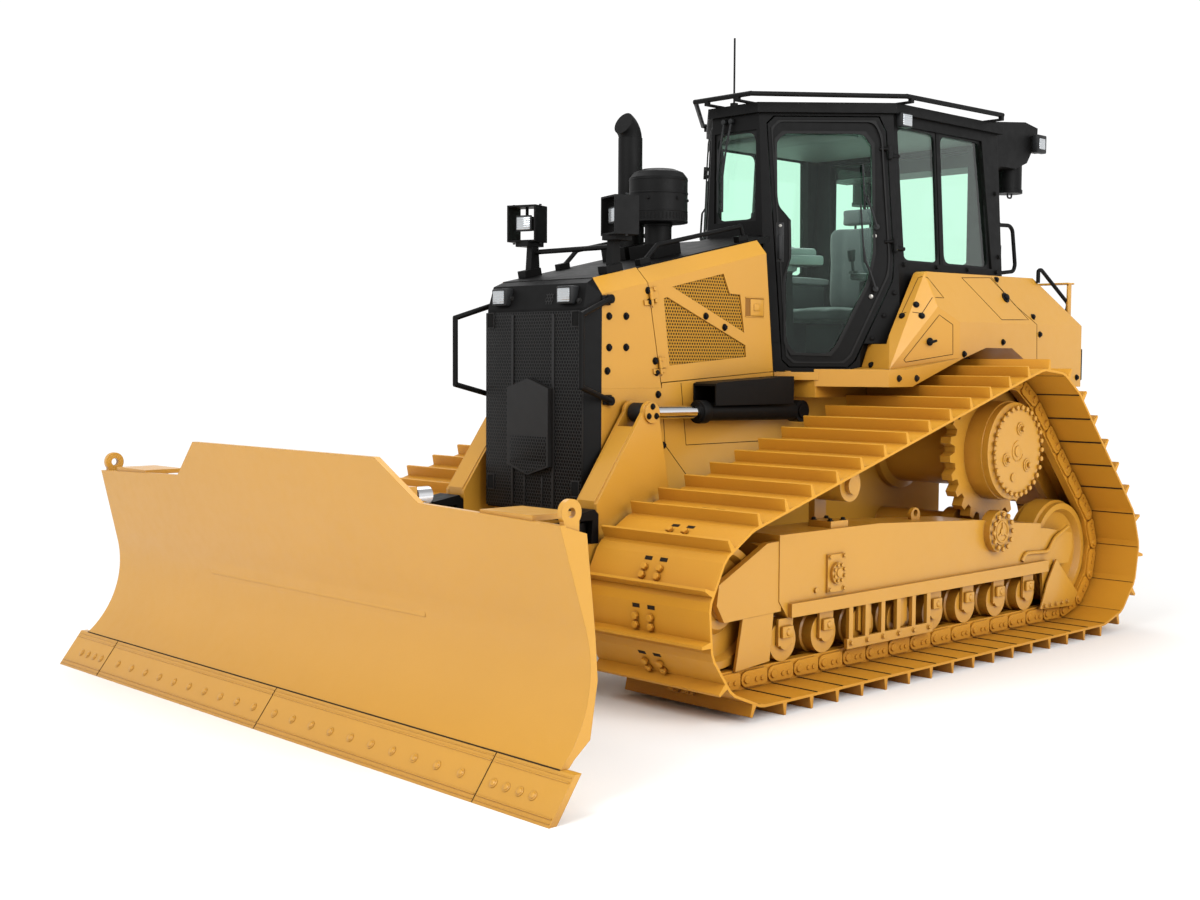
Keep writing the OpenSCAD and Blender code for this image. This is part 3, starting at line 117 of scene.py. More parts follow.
def enamel(name, colour, rough, peel=0.08, coat=0.2, shade=0.93, edge=0.004, gloss=0.5):
    """Sprayed enamel on steel: even colour with slow drift, painted shade in corners, soft edges and faint
    orange peel in the gloss.
    """
    tree, where = new_material(name)
    drift = add(tree, "TexNoise", {"Vector": where, "Scale": 1 / 0.45, "Detail": 3.0})
    grime = add(tree, "TexNoise", {"Vector": where, "Scale": 1 / 0.06, "Detail": 4.0})
    tone = add(tree, "Mix", {0: drift, 6: scaled(colour, shade), 7: colour}, data_type="RGBA")
    # Painted shade: the colour turns darker and warmer in corners and between plates, which keeps the joints
    # of the machine readable
    nook = add(tree, "AmbientOcclusion", {"Distance": 0.22}, samples=4)
    painted_shade_share = add(tree, "MapRange", {"Value": nook.outputs["AO"], "From Min": 0.1, "From Max": 0.85})
    painted_shade_colour = scaled(colour, 0.38, 0.26, 0.12)
    shaded = add(tree, "Mix", {0: painted_shade_share, 6: painted_shade_colour, 7: tone}, data_type="RGBA")
    rub = add(tree, "MapRange", {"Value": grime, "From Min": 0.3, "From Max": 0.7,
                                           "To Min": rough - 0.05, "To Max": rough + 0.06})
    # Orange peel is about 4 mm across on sprayed plate
    fine = add(tree, "TexNoise", {"Vector": where, "Scale": 1 / 0.004, "Detail": 1.0})
    soft = add(tree, "Bevel", {"Radius": edge}, samples=4)
    bump = add(tree, "Bump", {"Height": fine, "Strength": peel, "Distance": 0.0006, "Normal": soft})
    shader = add(tree, "BsdfPrincipled", {
        "Base Color": shaded, "Roughness": rub, "Normal": bump, "Coat Weight": coat, "Coat Roughness": 0.12,
        "Specular IOR Level": gloss})
    add(tree, "OutputMaterial", {"Surface": shader})


def screen(name, colour, painted_hole_shade, axes, hole_size=0.31):
    """Punched steel sheet: staggered round holes, coloured with painted shade of the dark behind them, that
    read as a fine dark net.
    """
    tree, where = new_material(name)
    pitch = bpy.context.scene.dozer_sizes.screen_pitch
    split = add(tree, "SeparateXYZ", {0: where})
    near = []
    for shift in (0.0, 0.5):
        gaps = []
        # Two grids of holes, each stretched by the root of three and set half a step apart, stagger the rows
        for axis, stretch in zip(axes, (1, math.sqrt(3))):
            step = add(tree, "Math", {0: split.outputs[axis], 1: 1 / (pitch * stretch), 2: shift + 400},
                       operation="MULTIPLY_ADD")
            part = add(tree, "Math", {0: step}, operation="FRACT")
            off = add(tree, "Math", {0: part, 1: 0.5}, operation="SUBTRACT")
            gaps.append(add(tree, "Math", {0: off, 1: stretch}, operation="MULTIPLY"))
        flat = add(tree, "CombineXYZ", {0: gaps[0], 1: gaps[1]})
        near.append(add(tree, "VectorMath", {0: flat}, operation="LENGTH"))
    gap = add(tree, "Math", {0: near[0], 1: near[1]}, operation="MINIMUM")
    solid = add(tree, "MapRange", {"Value": gap, "From Min": hole_size - 0.05,
                                             "From Max": hole_size + 0.05})
    # The holes are not cut: their colour is painted shade of the inside seen through them
    tone = add(tree, "Mix", {0: solid, 6: painted_hole_shade, 7: colour}, data_type="RGBA")
    bump = add(tree, "Bump", {"Height": solid, "Strength": 0.6, "Distance": 0.003})
    shader = add(tree, "BsdfPrincipled", {"Base Color": tone, "Roughness": 0.45, "Normal": bump,
                                                    "Specular IOR Level": 0.12})
    add(tree, "OutputMaterial", {"Surface": shader})


def plain_metal(name, colour, rough, grain, stretch=(1, 1, 1)):
    """Bare or plated steel: metallic, with fine marks that vary the gloss."""
    tree, where = new_material(name)
    turned = add(tree, "Mapping", {"Vector": where, "Scale": stretch})
    marks = add(tree, "TexNoise", {"Vector": turned, "Scale": 1 / grain, "Detail": 3.0})
    rub = add(tree, "MapRange", {"Value": marks, "To Min": rough * 0.6, "To Max": rough * 1.4})
    bump = add(tree, "Bump", {"Height": marks, "Strength": 0.05, "Distance": 0.0004})
    shader = add(tree, "BsdfPrincipled", {"Base Color": colour, "Metallic": 1.0, "Roughness": rub,
                                                    "Normal": bump})
    add(tree, "OutputMaterial", {"Surface": shader})


def moulded(name, colour, rough, grain):
    """Moulded rubber or plastic: matt, with a grained skin."""
    tree, where = new_material(name)
    skin = add(tree, "TexVoronoi", {"Vector": where, "Scale": 1 / grain})
    worn = add(tree, "TexNoise", {"Vector": where, "Scale": 1 / 0.08, "Detail": 3.0})
    lighter = tuple(min(1, c * 1.35 + 0.002) for c in colour[:3]) + (1.0,)
    tone = add(tree, "Mix", {0: worn, 6: colour, 7: lighter}, data_type="RGBA")
    bump = add(tree, "Bump", {"Height": skin, "Strength": 0.15, "Distance": 0.0005})
    shader = add(tree, "BsdfPrincipled", {"Base Color": tone, "Roughness": rough, "Normal": bump,
                                                    "Specular IOR Level": 0.25})
    add(tree, "OutputMaterial", {"Surface": shader})


def pane(name, colour):
    """Tinted safety glass: green where it is looked through, with a faint ripple in its reflections."""
    tree, where = new_material(name)
    ripple = add(tree, "TexNoise", {"Vector": where, "Scale": 1 / 0.3, "Detail": 1.0})
    bump = add(tree, "Bump", {"Height": ripple, "Strength": 0.03, "Distance": 0.001})
    clear = add(tree, "BsdfTransparent", {"Color": colour})
    shine = add(tree, "BsdfGlossy", {"Roughness": 0.02, "Normal": bump})
    slant = add(tree, "LayerWeight", {"Blend": 0.5})
    share = add(tree, "MapRange", {"Value": slant.outputs["Facing"], "From Min": 0.3,
                                             "To Min": 0.02, "To Max": 0.3})
    shader = add(tree, "MixShader", {0: share, 1: clear, 2: shine})
    add(tree, "OutputMaterial", {"Surface": shader})


def lens(name, colour):
    """Ribbed clear lens over a bright reflector, as one bright grooved face."""
    tree, where = new_material(name)
    # Ribs 12 mm apart; a wave's own length is about 0.31 at a scale of one
    ribs = add(tree, "TexWave", {"Vector": where, "Scale": 0.31 / 0.012}, bands_direction="Z")
    bump = add(tree, "Bump", {"Height": ribs.outputs["Fac"], "Strength": 0.5, "Distance": 0.002})
    shader = add(tree, "BsdfPrincipled", {"Base Color": colour, "Roughness": 0.12, "Metallic": 0.55,
                                                    "Normal": bump})
    add(tree, "OutputMaterial", {"Surface": shader})


def woven(name, colour):
    """Woven seat cloth: crossed threads, drawn 6 mm apart so that they show, with a soft sheen."""
    tree, where = new_material(name)
    over, under = (add(tree, "TexWave", {"Vector": where, "Scale": 0.31 / 0.006},
                       bands_direction=way).outputs["Fac"] for way in "YZ")
    weave = add(tree, "Math", {0: over, 1: under}, operation="MAXIMUM")
    tone = add(tree, "Mix", {0: weave, 6: colour, 7: scaled(colour, 2.2)}, data_type="RGBA")
    bump = add(tree, "Bump", {"Height": weave, "Strength": 0.35, "Distance": 0.001})
    shader = add(tree, "BsdfPrincipled", {"Base Color": tone, "Roughness": 0.85, "Sheen Weight": 0.3,
                                                    "Normal": bump})
    add(tree, "OutputMaterial", {"Surface": shader})


def stock(name):
    """Finished material by name, made by the paint operator."""
    return bpy.data.materials[name]


def piece(bm, name, body, finish, angle=35):
    """Turn a bmesh into an object at the origin that rides on a body."""
    bmesh.ops.recalc_face_normals(bm, faces=bm.faces)
    mesh = bpy.data.meshes.new(name)
    bm.to_mesh(mesh)
    bm.free()
    mesh.materials.append(stock(finish))
    mesh.shade_smooth()
    mesh.set_sharp_from_angle(angle=math.radians(angle))
    obj = bpy.data.objects.new(name, mesh)
    bpy.context.scene.collection.objects.link(obj)
    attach(obj, body)
    return obj


def facing(at, axis):
    """Matrix that moves +Z onto an axis at a point in millimetres."""
    turn = Vector((0, 0, 1)).rotation_difference(Vector(axis).normalized())
    return Matrix.Translation(mm(*at)) @ turn.to_matrix().to_4x4()


def soften(bm, edges, width):
    """Round off edges by a width in millimetres."""
    bmesh.ops.bevel(bm, geom=list(set(edges)), offset=width * 0.001, affect="EDGES", segments=2, profile=0.5,
                    material=-1)


def push_out(bm, faces, way):
    """Thicken faces into a plate along a vector in millimetres; returns the pushed faces."""
    made = bmesh.ops.extrude_face_region(bm, geom=faces, use_keep_orig=True)["geom"]
    bmesh.ops.translate(bm, verts=[g for g in made if isinstance(g, bmesh.types.BMVert)], vec=mm(*way))
    return [g for g in made if isinstance(g, bmesh.types.BMFace)]


def disc(bm, at, axis, r, depth, segments=24, chamfer=0.0, top=None):
    """Round boss standing on a point; millimetres."""
    made = bmesh.ops.create_cone(bm, cap_ends=True, segments=segments, radius1=r * 0.001,
                                 radius2=(r if top is None else top) * 0.001, depth=depth * 0.001,
                                 matrix=facing(at, axis) @ Matrix.Translation((0, 0, depth * 0.0005)))
    if chamfer:
        rim = [f for f in bm.faces if len(f.verts) == segments and all(v in made["verts"] for v in f.verts)]
        soften(bm, [e for f in rim for e in f.edges], chamfer)


def bolt(bm, at, axis, width, washer=True):
    """Hexagon bolt on its washer; the width is across the flats, in millimetres."""
    r = width / math.sqrt(3)
    if washer:
        disc(bm, at, axis, r * 1.45, width * 0.13, 14)
    base = Vector(at) + Vector(axis).normalized() * width * 0.12
    disc(bm, base, axis, r, width * 0.42, 6)
    disc(bm, base + Vector(axis).normalized() * width * 0.42, axis, r, width * 0.1, 6, top=r * 0.8)


def block(bm, lo, hi, soft=3.0, matrix=None):
    """Box between two corners with rounded edges; millimetres."""
    size, mid = [abs(b - a) * 0.001 for a, b in zip(lo, hi)], (mm(*lo) + mm(*hi)) / 2
    place = Matrix.Translation(mid) @ Matrix.Diagonal((*size, 1))
    made = bmesh.ops.create_cube(bm, size=1, matrix=(matrix or Matrix()) @ place)
    if soft:
        soften(bm, [e for v in made["verts"] for e in v.link_edges], soft)


def slab(bm, points, push, soft=0.0):
    """Plate: an outline in space pushed along a vector; millimetres."""
    face = bm.faces.new([bm.verts.new(mm(*p)) for p in points])
    top = push_out(bm, [face], push)
    if soft:
        soften(bm, [e for f in [face] + top for e in f.edges], soft)


def corner(a, b, c, r, steps):
    """Arc of about r that cuts the corner b between a and c; millimetres."""
    cut = min(r, (b - a).length * 0.45, (c - b).length * 0.45)
    p, q = b + (a - b).normalized() * cut, b + (c - b).normalized() * cut
    shares = [i / steps for i in range(steps + 1)]
    return [p * (1 - t) ** 2 + b * 2 * t * (1 - t) + q * t ** 2 for t in shares]


def rounded(points, r):
    """Path with its corners turned into arcs of about r; millimetres."""
    pts = [Vector(p) for p in points]
    turns = [p for a, b, c in zip(pts, pts[1:], pts[2:]) for p in corner(a, b, c, r, 5)]
    return [pts[0]] + turns + [pts[-1]]


def pipe(bm, points, r, segments=10):
    """Round bar or hose along a path; millimetres."""
    pts = [Vector(p) for p in points]
    rings = []
    up = None
    for i, p in enumerate(pts):
        way = (pts[min(i + 1, len(pts) - 1)] - pts[max(i - 1, 0)]).normalized()
        if up is None:
            up = way.orthogonal().normalized()
        up = (up - way * up.dot(way)).normalized()
        side = way.cross(up)
        turn = Matrix((side, up, way)).transposed().to_4x4()
        made = bmesh.ops.create_circle(bm, segments=segments, radius=r * 0.001,
                                       matrix=Matrix.Translation(p * 0.001) @ turn)
        rings.append(made["verts"])
    for pair in zip(rings, rings[1:]):
        edges = {e for loop in pair for v in loop for e in v.link_edges if all(w in loop for w in e.verts)}
        bmesh.ops.bridge_loops(bm, edges=list(edges))
    for loop in (rings[0], rings[-1]):
        bm.faces.new(loop)


def touch(node, at, toward):
    """Point in millimetres and normal where a ray first meets a CAD node."""
    found, place, normal, _ = NODES[node].ray_cast(mm(*at), Vector(toward).normalized())
    if not found:
        raise RuntimeError(f"no surface of {node} seen from {tuple(at)}")
    return place * 1000, normal


def settle(node, at):
    """Nearest point of a CAD node in millimetres, and the normal there."""
    found, place, normal, _ = NODES[node].closest_point_on_mesh(mm(*at))
    if not found:
        raise RuntimeError(f"{node} has no surface")
    return place * 1000, normal


def sided(p, s):
    """Point taken to the left (1) or right (-1) side."""
    return Vector((p[0], p[1] * s, p[2]))


def mirrored(points, s):
    """Points taken to the left (1) or right (-1) side."""
    return [sided(p, s) for p in points]


def ring(x, y, z, r, count, phase=0.0):
    """Points evenly round a circle that stands along the machine; millimetres."""
    turns = [(i + phase) / count * math.tau for i in range(count)]
    return [(x + r * math.cos(a), y, z + r * math.sin(a)) for a in turns]


# Finishes of the CAD nodes
FINISHES = (
    ("black_enamel", ("engine", "radiator_guard", "nose", "hood_top", "exhaust", "pre_cleaner", "work_lamps",
                      "grab_rails", "cab_frame", "cab_roof", "cab_door_left", "cab_door_right", "console",
                      "roof_rails", "antenna", "air_unit", "cylinder_guards", "angle_guards",
                      "lift_barrel_left", "lift_barrel_right", "angle_barrel_left", "angle_barrel_right",
                      "tilt_barrel")),
    ("dark_grey_enamel", ("grille",)),
    ("yellow_track_enamel", ("track_left", "track_right")),
    ("tinted_glass", ("cab_glass", "door_glass_left", "door_glass_right")),
    ("hard_chrome", ("lift_rod_left", "lift_rod_right", "angle_rod_left", "angle_rod_right", "tilt_rod")),
    ("seat_cloth", ("operator_seat",)))


class DOZER_OT_paint(bpy.types.Operator):
    """Make the finishes and paint the CAD nodes"""
    bl_idname = "dozer.paint"
    bl_label = "Paint"

    def execute(self, context):
        paint = context.scene.dozer_paint
        yellow, black = linear(paint.yellow), linear(paint.black)
        enamel("yellow_enamel", yellow, 0.36, coat=0.12)
        enamel("yellow_track_enamel", scaled(yellow, 1.12, 1.06, 0.85), 0.48, peel=0.12, coat=0.0, shade=0.85,
               edge=0.003, gloss=0.25)
        enamel("black_enamel", black, 0.5, peel=0.02, coat=0.0, shade=0.8, gloss=0.12)
        enamel("dark_grey_enamel", scaled(black, 4), 0.45, peel=0.02, coat=0.0, shade=0.9, gloss=0.2)
        # The second colour of each punched sheet is painted shade seen through its holes
        screen("black_punched_steel", linear("2a2a2a"), linear("020202"), (1, 2), hole_size=0.4)
        screen("yellow_punched_steel", scaled(yellow, 0.75), linear("2a1a08"), (0, 2))
        plain_metal("hard_chrome", linear("d8d8da"), 0.12, 0.02, (0.05, 1, 1))
        plain_metal("zinc_steel", linear("8d8b86"), 0.35, 0.01)
        # Of these, the dark seam, recess and opening colours are painted shade in gaps, recesses and openings
        for name, colour, rough, grain in (
                ("rubber", "0b0b0b", 0.6, 0.004), ("black_plastic", "161718", 0.5, 0.002),
                ("grey_plastic", "626466", 0.55, 0.002), ("painted_gap_shade", "1d1408", 0.9, 0.01),
                ("painted_recess_shade", "7a5320", 0.7, 0.01), ("painted_opening_shade", "050505", 0.95, 0.01),
                ("screen_glass", "0c0f12", 0.12, 0.05)):
            moulded(name, linear(colour), rough, grain)
        pane("tinted_glass", linear(paint.glass))
        lens("lamp_lens", linear("b4b8bb"))
        woven("seat_cloth", linear("1c1d1f"))
        finish_of = {name: finish for finish, names in FINISHES for name in names}
        for name, obj in NODES.items():
            obj.data.materials.clear()
            obj.data.materials.append(stock(finish_of.get(name, "yellow_enamel")))
        return {"FINISHED"}


# Fasteners, seams and punched sheets of the hood sides: X and Z on the panel
HOOD_BOLTS = ((971, 1937), (846, 1940), (970, 1775), (845, 1777), (982, 1653), (599, 1526), (556, 1251))
HINGE_BOLTS = ((683, 2080), (673, 2018), (624, 1706), (613, 1645))
DOOR_BOLTS = ((223, 1955), (65, 1896))
HOOD_SEAMS = (((555, 1393), (542, 1252), (340, 1051)), ((419, 1586), (375, 1246), (-237, 1247)))
UPPER_SCREEN = ((494, 2107), (77, 2195), (23, 2086), (-67, 2082), (-105, 1869))
LOWER_SCREEN = ((559, 2043), (533, 2050), (-116, 1797), (-123, 1732), (510, 1682))
HOOD_Y = 430


class DOZER_OT_hood(bpy.types.Operator):
    """Fasteners, latches and screens of the hood sides"""
    bl_idname = "dozer.hood"
    bl_label = "Hood fittings"

    def execute(self, context):
        width = context.scene.dozer_sizes.bolt * 1000
        for side, s in SIDES:
            door, face, out = f"engine_door_{side}", s * HOOD_Y, (0, s, 0)
            bm = bmesh.new()
            for x, z in HOOD_BOLTS + HINGE_BOLTS:
                bolt(bm, (x, face, z), out, width)
            for x, z in ((990, 1503), (1002, 2019)):
                block(bm, (x - 32, face, z - 26), (x + 26, face + s * 14, z + 26), 4)
                bolt(bm, (x + 8, face + s * 13.5, z), out, 20)
            piece(bm, f"hood_bolts_{side}", "chassis", "black_enamel")
            bm = bmesh.new()
            for x, z in DOOR_BOLTS:
                bolt(bm, (x, face, z), out, width)
            piece(bm, f"door_bolts_{side}", door, "black_enamel")
            bm = bmesh.new()
            for x, z in HINGE_BOLTS:
                bolt(bm, (x - 46, face + s * 0.3, z + 9), out, width - 2)
            piece(bm, f"hinge_bolts_{side}", door, "yellow_enamel")
            bm = bmesh.new()
            # Thin dark bars along the panel seams: painted shade in the gaps
            for line in HOOD_SEAMS:
                pipe(bm, [(x, face, z) for x, z in line], 2.2, 6)
            piece(bm, f"hood_seams_{side}", "chassis", "painted_gap_shade")
            bm = bmesh.new()
            # A thin darker-yellow plate in the latch's recess: painted shade in it
            block(bm, (-274, face, 1961), (-112, face + s * 0.8, 2066), 0)
            piece(bm, f"latch_pocket_{side}", door, "painted_recess_shade")
            bm = bmesh.new()
            for outline in (UPPER_SCREEN, LOWER_SCREEN):
                mid = [sum(p[i] for p in outline) / len(outline) for i in (0, 1)]
                pts = [(mid[0] + (x - mid[0]) * 0.996, face - s * 11.7, mid[1] + (z - mid[1]) * 0.996)
                       for x, z in outline]
                slab(bm, pts, (0, s * 3, 0))
            piece(bm, f"door_screens_{side}", door, "yellow_punched_steel")
            bm = bmesh.new()
            block(bm, (-268, face, 1966), (-152, face + s * 6, 2061), 3)
            block(bm, (-236, face + s * 5, 1994), (-180, face + s * 10, 2034), 3)
            for x, z in ((-274, 1958), (-274, 2066)):
                block(bm, (x, face, z), (-112, face + s * 4, z + 5), 1)
            piece(bm, f"door_latch_{side}", door, "yellow_enamel")
        return {"FINISHED"}


# Wheels of the track: X, Z and the radius of the pins round them
FRONT_IDLER, SPROCKET, REAR_IDLER = (935.0, 500.0, 375.0), (-1617.0, 1176.0, 435.0), (-2345.0, 500.0, 375.0)
SHOES, SHOE_PHASE = 45, 40.0
TRACK_Y, SHOE_TOP, LINK_H, LINK_Y = 1080, 65, 51, 125
BOLT_REACH = (86, 130)


def track_pins():
    """Pin centres of the track, X and Z in millimetres, round the two idlers and the sprocket."""
    wheels = (FRONT_IDLER, SPROCKET, REAR_IDLER)
    lead, run = [], []
    for (x0, z0, r0), (x1, z1, r1) in zip(wheels, wheels[1:] + wheels[:1]):
        gap = math.hypot(x1 - x0, z1 - z0)
        lead.append(math.atan2(z1 - z0, x1 - x0) - math.acos((r0 - r1) / gap))
        run.append(math.sqrt(gap ** 2 - (r0 - r1) ** 2))
    arc = [(lead[i] - lead[i - 1]) % math.tau * wheels[i][2] for i in range(3)]
    total = sum(run) + sum(arc)
    pins = []
    for n in range(SHOES):
        left = (n * total / SHOES + SHOE_PHASE) % total
        for i, (x, z, r) in enumerate(wheels):
            turn = lead[i - 1] + min(left, arc[i]) / r
            past = max(left - arc[i], 0)
            left = past - run[i]
            if left < 0 or i == 2:
                pins.append(Vector((x + r * math.cos(turn) - past * math.sin(turn), 0,
                                    z + r * math.sin(turn) + past * math.cos(turn))))
                break
    return pins


class DOZER_OT_tracks(bpy.types.Operator):
    """Shoe bolts and mud slots, seams between the shoes, chain links and their pins"""
    bl_idname = "dozer.tracks"
    bl_label = "Track hardware"

    def execute(self, context):
        width = context.scene.dozer_sizes.shoe_bolt * 1000
        pins = track_pins()
        for side, s in SIDES:
            bolts, slots, links = bmesh.new(), bmesh.new(), bmesh.new()
            for i, pin in enumerate(pins):
                step = pins[(i + 1) % len(pins)] - pin
                way = step.normalized()
                out = Vector((way.z, 0, -way.x))
                mid = Matrix.Translation((pin + Vector((0, s * TRACK_Y, 0))) * 0.001) @ Matrix(
                    (way, Vector((0, 1, 0)), out)).transposed().to_4x4()
                # Thin dark strips for the mud slots on the shoes, and below for the gaps between shoes:
                # painted shade in them
                for y in (-50, 50):
                    for reach in BOLT_REACH:
                        bolt(bolts, mid @ mm(reach, y, SHOE_TOP) * 1000, out, width, washer=False)
                    block(slots, (168, y - 24, SHOE_TOP), (188, y + 24, SHOE_TOP + 1), 0, mid)
                for side_in in (-1, 1):
                    block(slots, (-8, side_in * 128, 48), (2, side_in * 416, LINK_H + 0.6), 0, mid)
                    face = side_in * LINK_Y
                    turns = [k * math.pi / 6 for k in range(7)]
                    ends = [(step.length + 40 * math.sin(a), 40 * math.cos(a)) for a in turns]
                    shape = [(46, 30), (66, 42)] + ends + [(66, -42), (46, -30)]
                    slab(links, [mid @ mm(x, face, z) * 1000 for x, z in shape], (0, side_in * 12, 0))
                    face += side_in * 11
                    disc(links, mid @ mm(step.length, face, 0) * 1000, (0, side_in, 0), 24, 9, 10, top=20)
                    for x in BOLT_REACH:
                        disc(links, mid @ mm(x, face, 8) * 1000, (0, side_in, 0), 13, 6, 6)
            piece(bolts, f"shoe_bolts_{side}", "chassis", "yellow_track_enamel")
            piece(slots, f"shoe_slots_{side}", "chassis", "painted_gap_shade")
            piece(links, f"chain_links_{side}", "chassis", "yellow_track_enamel")
        return {"FINISHED"}


class DOZER_OT_drives(bpy.types.Operator):
    """Bolt rings and bosses of the final drives"""
    bl_idname = "dozer.drives"
    bl_label = "Drive covers"

    def execute(self, context):
        x, z, _ = SPROCKET
        for side, s in SIDES:
            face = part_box(f"final_drive_{side}")
            y = (face[1][1] if s > 0 else face[0][1]) * 1000
            out = (0, s, 0)
            bm = bmesh.new()
            for at in ring(x, y, z, 262, 30):
                bolt(bm, at, out, 27, washer=False)
            for at in ring(x, y, z, 136, 3, 100 / 120):
                disc(bm, at, out, 40, 6, 24, 2)
                disc(bm, (at[0], y + s * 5.8, at[2]), out, 29, 5, 20, 2)
                bolt(bm, (at[0], y + s * 10.5, at[2]), out, 28, washer=False)
            disc(bm, (x + 50, y, z - 156), out, 26, 7, 20, 2)
            arc = [(x + 60 * math.cos(k * 0.2), y, z + 60 * math.sin(k * 0.2)) for k in range(-14, 9)]
            pipe(bm, arc, 5, 8)
            disc(bm, (x, y, z), out, 34, 5, 28, 2)
            piece(bm, f"drive_bolts_{side}", "chassis", "yellow_enamel")
        return {"FINISHED"}


GRILLE_X, COVER_X = 1120, 1158
GRILLE_CUTS = tuple((y, z, z + 74) for y in (-366, 316) for z in (1885, 1001))


class DOZER_OT_grille(bpy.types.Operator):
    """Punched sheet, strips and corner openings of the radiator grille"""
    bl_idname = "dozer.grille"
    bl_label = "Grille sheet"

    def execute(self, context):
        x = GRILLE_X
        bm = bmesh.new()
        block(bm, (x + 0.2, -384, 912), (x + 3, 384, 1962), 0.8)
        block(bm, (COVER_X + 0.2, -135, 1172), (COVER_X + 1.6, 150, 1302), 0.4)
        slab(bm, [(COVER_X + 0.2, -135, 1174), (COVER_X + 0.2, 150, 1174), (COVER_X + 0.2, 150, 1150),
                  (COVER_X + 0.2, 4, 1104), (COVER_X + 0.2, -135, 1150)], (1.4, 0, 0))
        bmesh.ops.create_grid(bm, x_segments=2, y_segments=2, size=0.03,
                              matrix=Matrix.Translation(mm(1097.5, 109, 2031)) @ Matrix.Rotation(
                                  math.radians(75.6), 4, "Y"))
        piece(bm, "grille_sheet", "chassis", "black_punched_steel")
        bm = bmesh.new()
        for y in (-153, 174):
            block(bm, (x + 3, y - 6, 930), (x + 9, y + 6, 1950), 1.5)
        for y in (-57, 84):
            block(bm, (x + 3, y - 5, 925), (x + 8, y + 5, 1092), 1.5)
        for y, low, high in GRILLE_CUTS:
            for a, b, c, d in ((y - 6, y, low - 6, high + 6), (y + 50, y + 56, low - 6, high + 6),
                               (y, y + 50, low - 6, low), (y, y + 50, high, high + 6)):
                block(bm, (x + 3, a, c), (x + 7, b, d), 1)
        for at in ((1094, -202, 2039), (1100, 343, 2015)):
            place, normal = settle("nose", at)
            bolt(bm, place, normal, 20)
        piece(bm, "grille_strips", "chassis", "dark_grey_enamel")
        bm = bmesh.new()
        # Near-black plates in the corner openings: painted shade in them
        for y, low, high in GRILLE_CUTS:
            block(bm, (x + 2.6, y, low), (x + 3.6, y + 50, high), 0.3)
        piece(bm, "grille_openings", "chassis", "painted_opening_shade")
        return {"FINISHED"}


CLEANER_X, CLEANER_Y, CLEANER_R = 264, 100, 165


class DOZER_OT_stack(bpy.types.Operator):
    """Bands, louvres and screws of the pre-cleaner"""
    bl_idname = "dozer.stack"
    bl_label = "Stack fittings"

    def execute(self, context):
        bm = bmesh.new()
        for z, r, height in ((2484, 168, 10), (2540, 167, 8), (2640, 168, 12), (2716, 167, 8)):
            disc(bm, (CLEANER_X, CLEANER_Y, z), (0, 0, 1), r, height, 48, 2)
        for i in range(6):
            a = (i + 0.4) / 6 * math.tau
            out = Vector((math.cos(a), math.sin(a), 0))
            bolt(bm, Vector((CLEANER_X, CLEANER_Y, 2612)) + out * CLEANER_R, out, 14)
        for z in (2330, 2462):
            disc(bm, (CLEANER_X, CLEANER_Y, z), (0, 0, 1), 81, 18, 36, 3)
        piece(bm, "pre_cleaner_bands", "chassis", "black_enamel")
        # Near-black strips round the pre-cleaner stand for its louvre slots: painted shade in them
        bm = bmesh.new()
        for i in range(48):
            turn = Matrix.Rotation(i / 48 * math.tau, 4, "Z")
            block(bm, (CLEANER_R - 1, -4, -17), (CLEANER_R + 1.5, 4, 17), 0,
                  Matrix.Translation(mm(CLEANER_X, CLEANER_Y, 2516)) @ turn)
        piece(bm, "pre_cleaner_louvres", "chassis", "painted_opening_shade")
        return {"FINISHED"}


class DOZER_OT_lamps(bpy.types.Operator):
    """Lenses and housings of the nose, work and side lamps"""
    bl_idname = "dozer.lamps"
    bl_label = "Lamps"

    def execute(self, context):
        house, glass = bmesh.new(), bmesh.new()
        for y, z in ((-261, 2046), (261, 2046)):
            block(house, (1070, y - 60, z - 46), (1137, y + 60, z + 48), 9)
            block(glass, (1134, y - 46, z - 35), (1141, y + 46, z + 37), 6)
        for _, s in SIDES:
            turn = Matrix.Translation(mm(836, s * 370, 2468)) @ Matrix.Rotation(math.radians(-20 * s), 4, "Z")
            block(house, (34, -52, -43), (44, 52, 47), 6, turn)
            block(glass, (41, -43, -34), (48, 43, 38), 5, turn)
            for z in (-1, 1):
                for y in (-84, 84):
                    bolt(house, turn @ Vector((0, y * 0.001, z * 0.102)) * 1000, (0, 0, z), 14, washer=False)
            block(house, (-2838, s * 700, 3112), (-2722, s * 744, 3232), 7)
            block(glass, (-2816, s * 738, 3136), (-2744, s * 748, 3208), 5)
            block(house, (-1226, s * 728, 3104), (-1118, s * 776, 3190), 9)
            block(glass, (-1216, s * 770, 3113), (-1128, s * 781, 3181), 6)
            hook = ((-2660, 590, 2850), (-2660, 590, 2812), (-2610, 590, 2812), (-2610, 590, 2850))
            pipe(house, rounded(mirrored(hook, s), 18), 6, 8)
        piece(house, "lamp_housings", "chassis", "black_plastic")
        piece(glass, "lamp_lenses", "chassis", "lamp_lens")
        return {"FINISHED"}


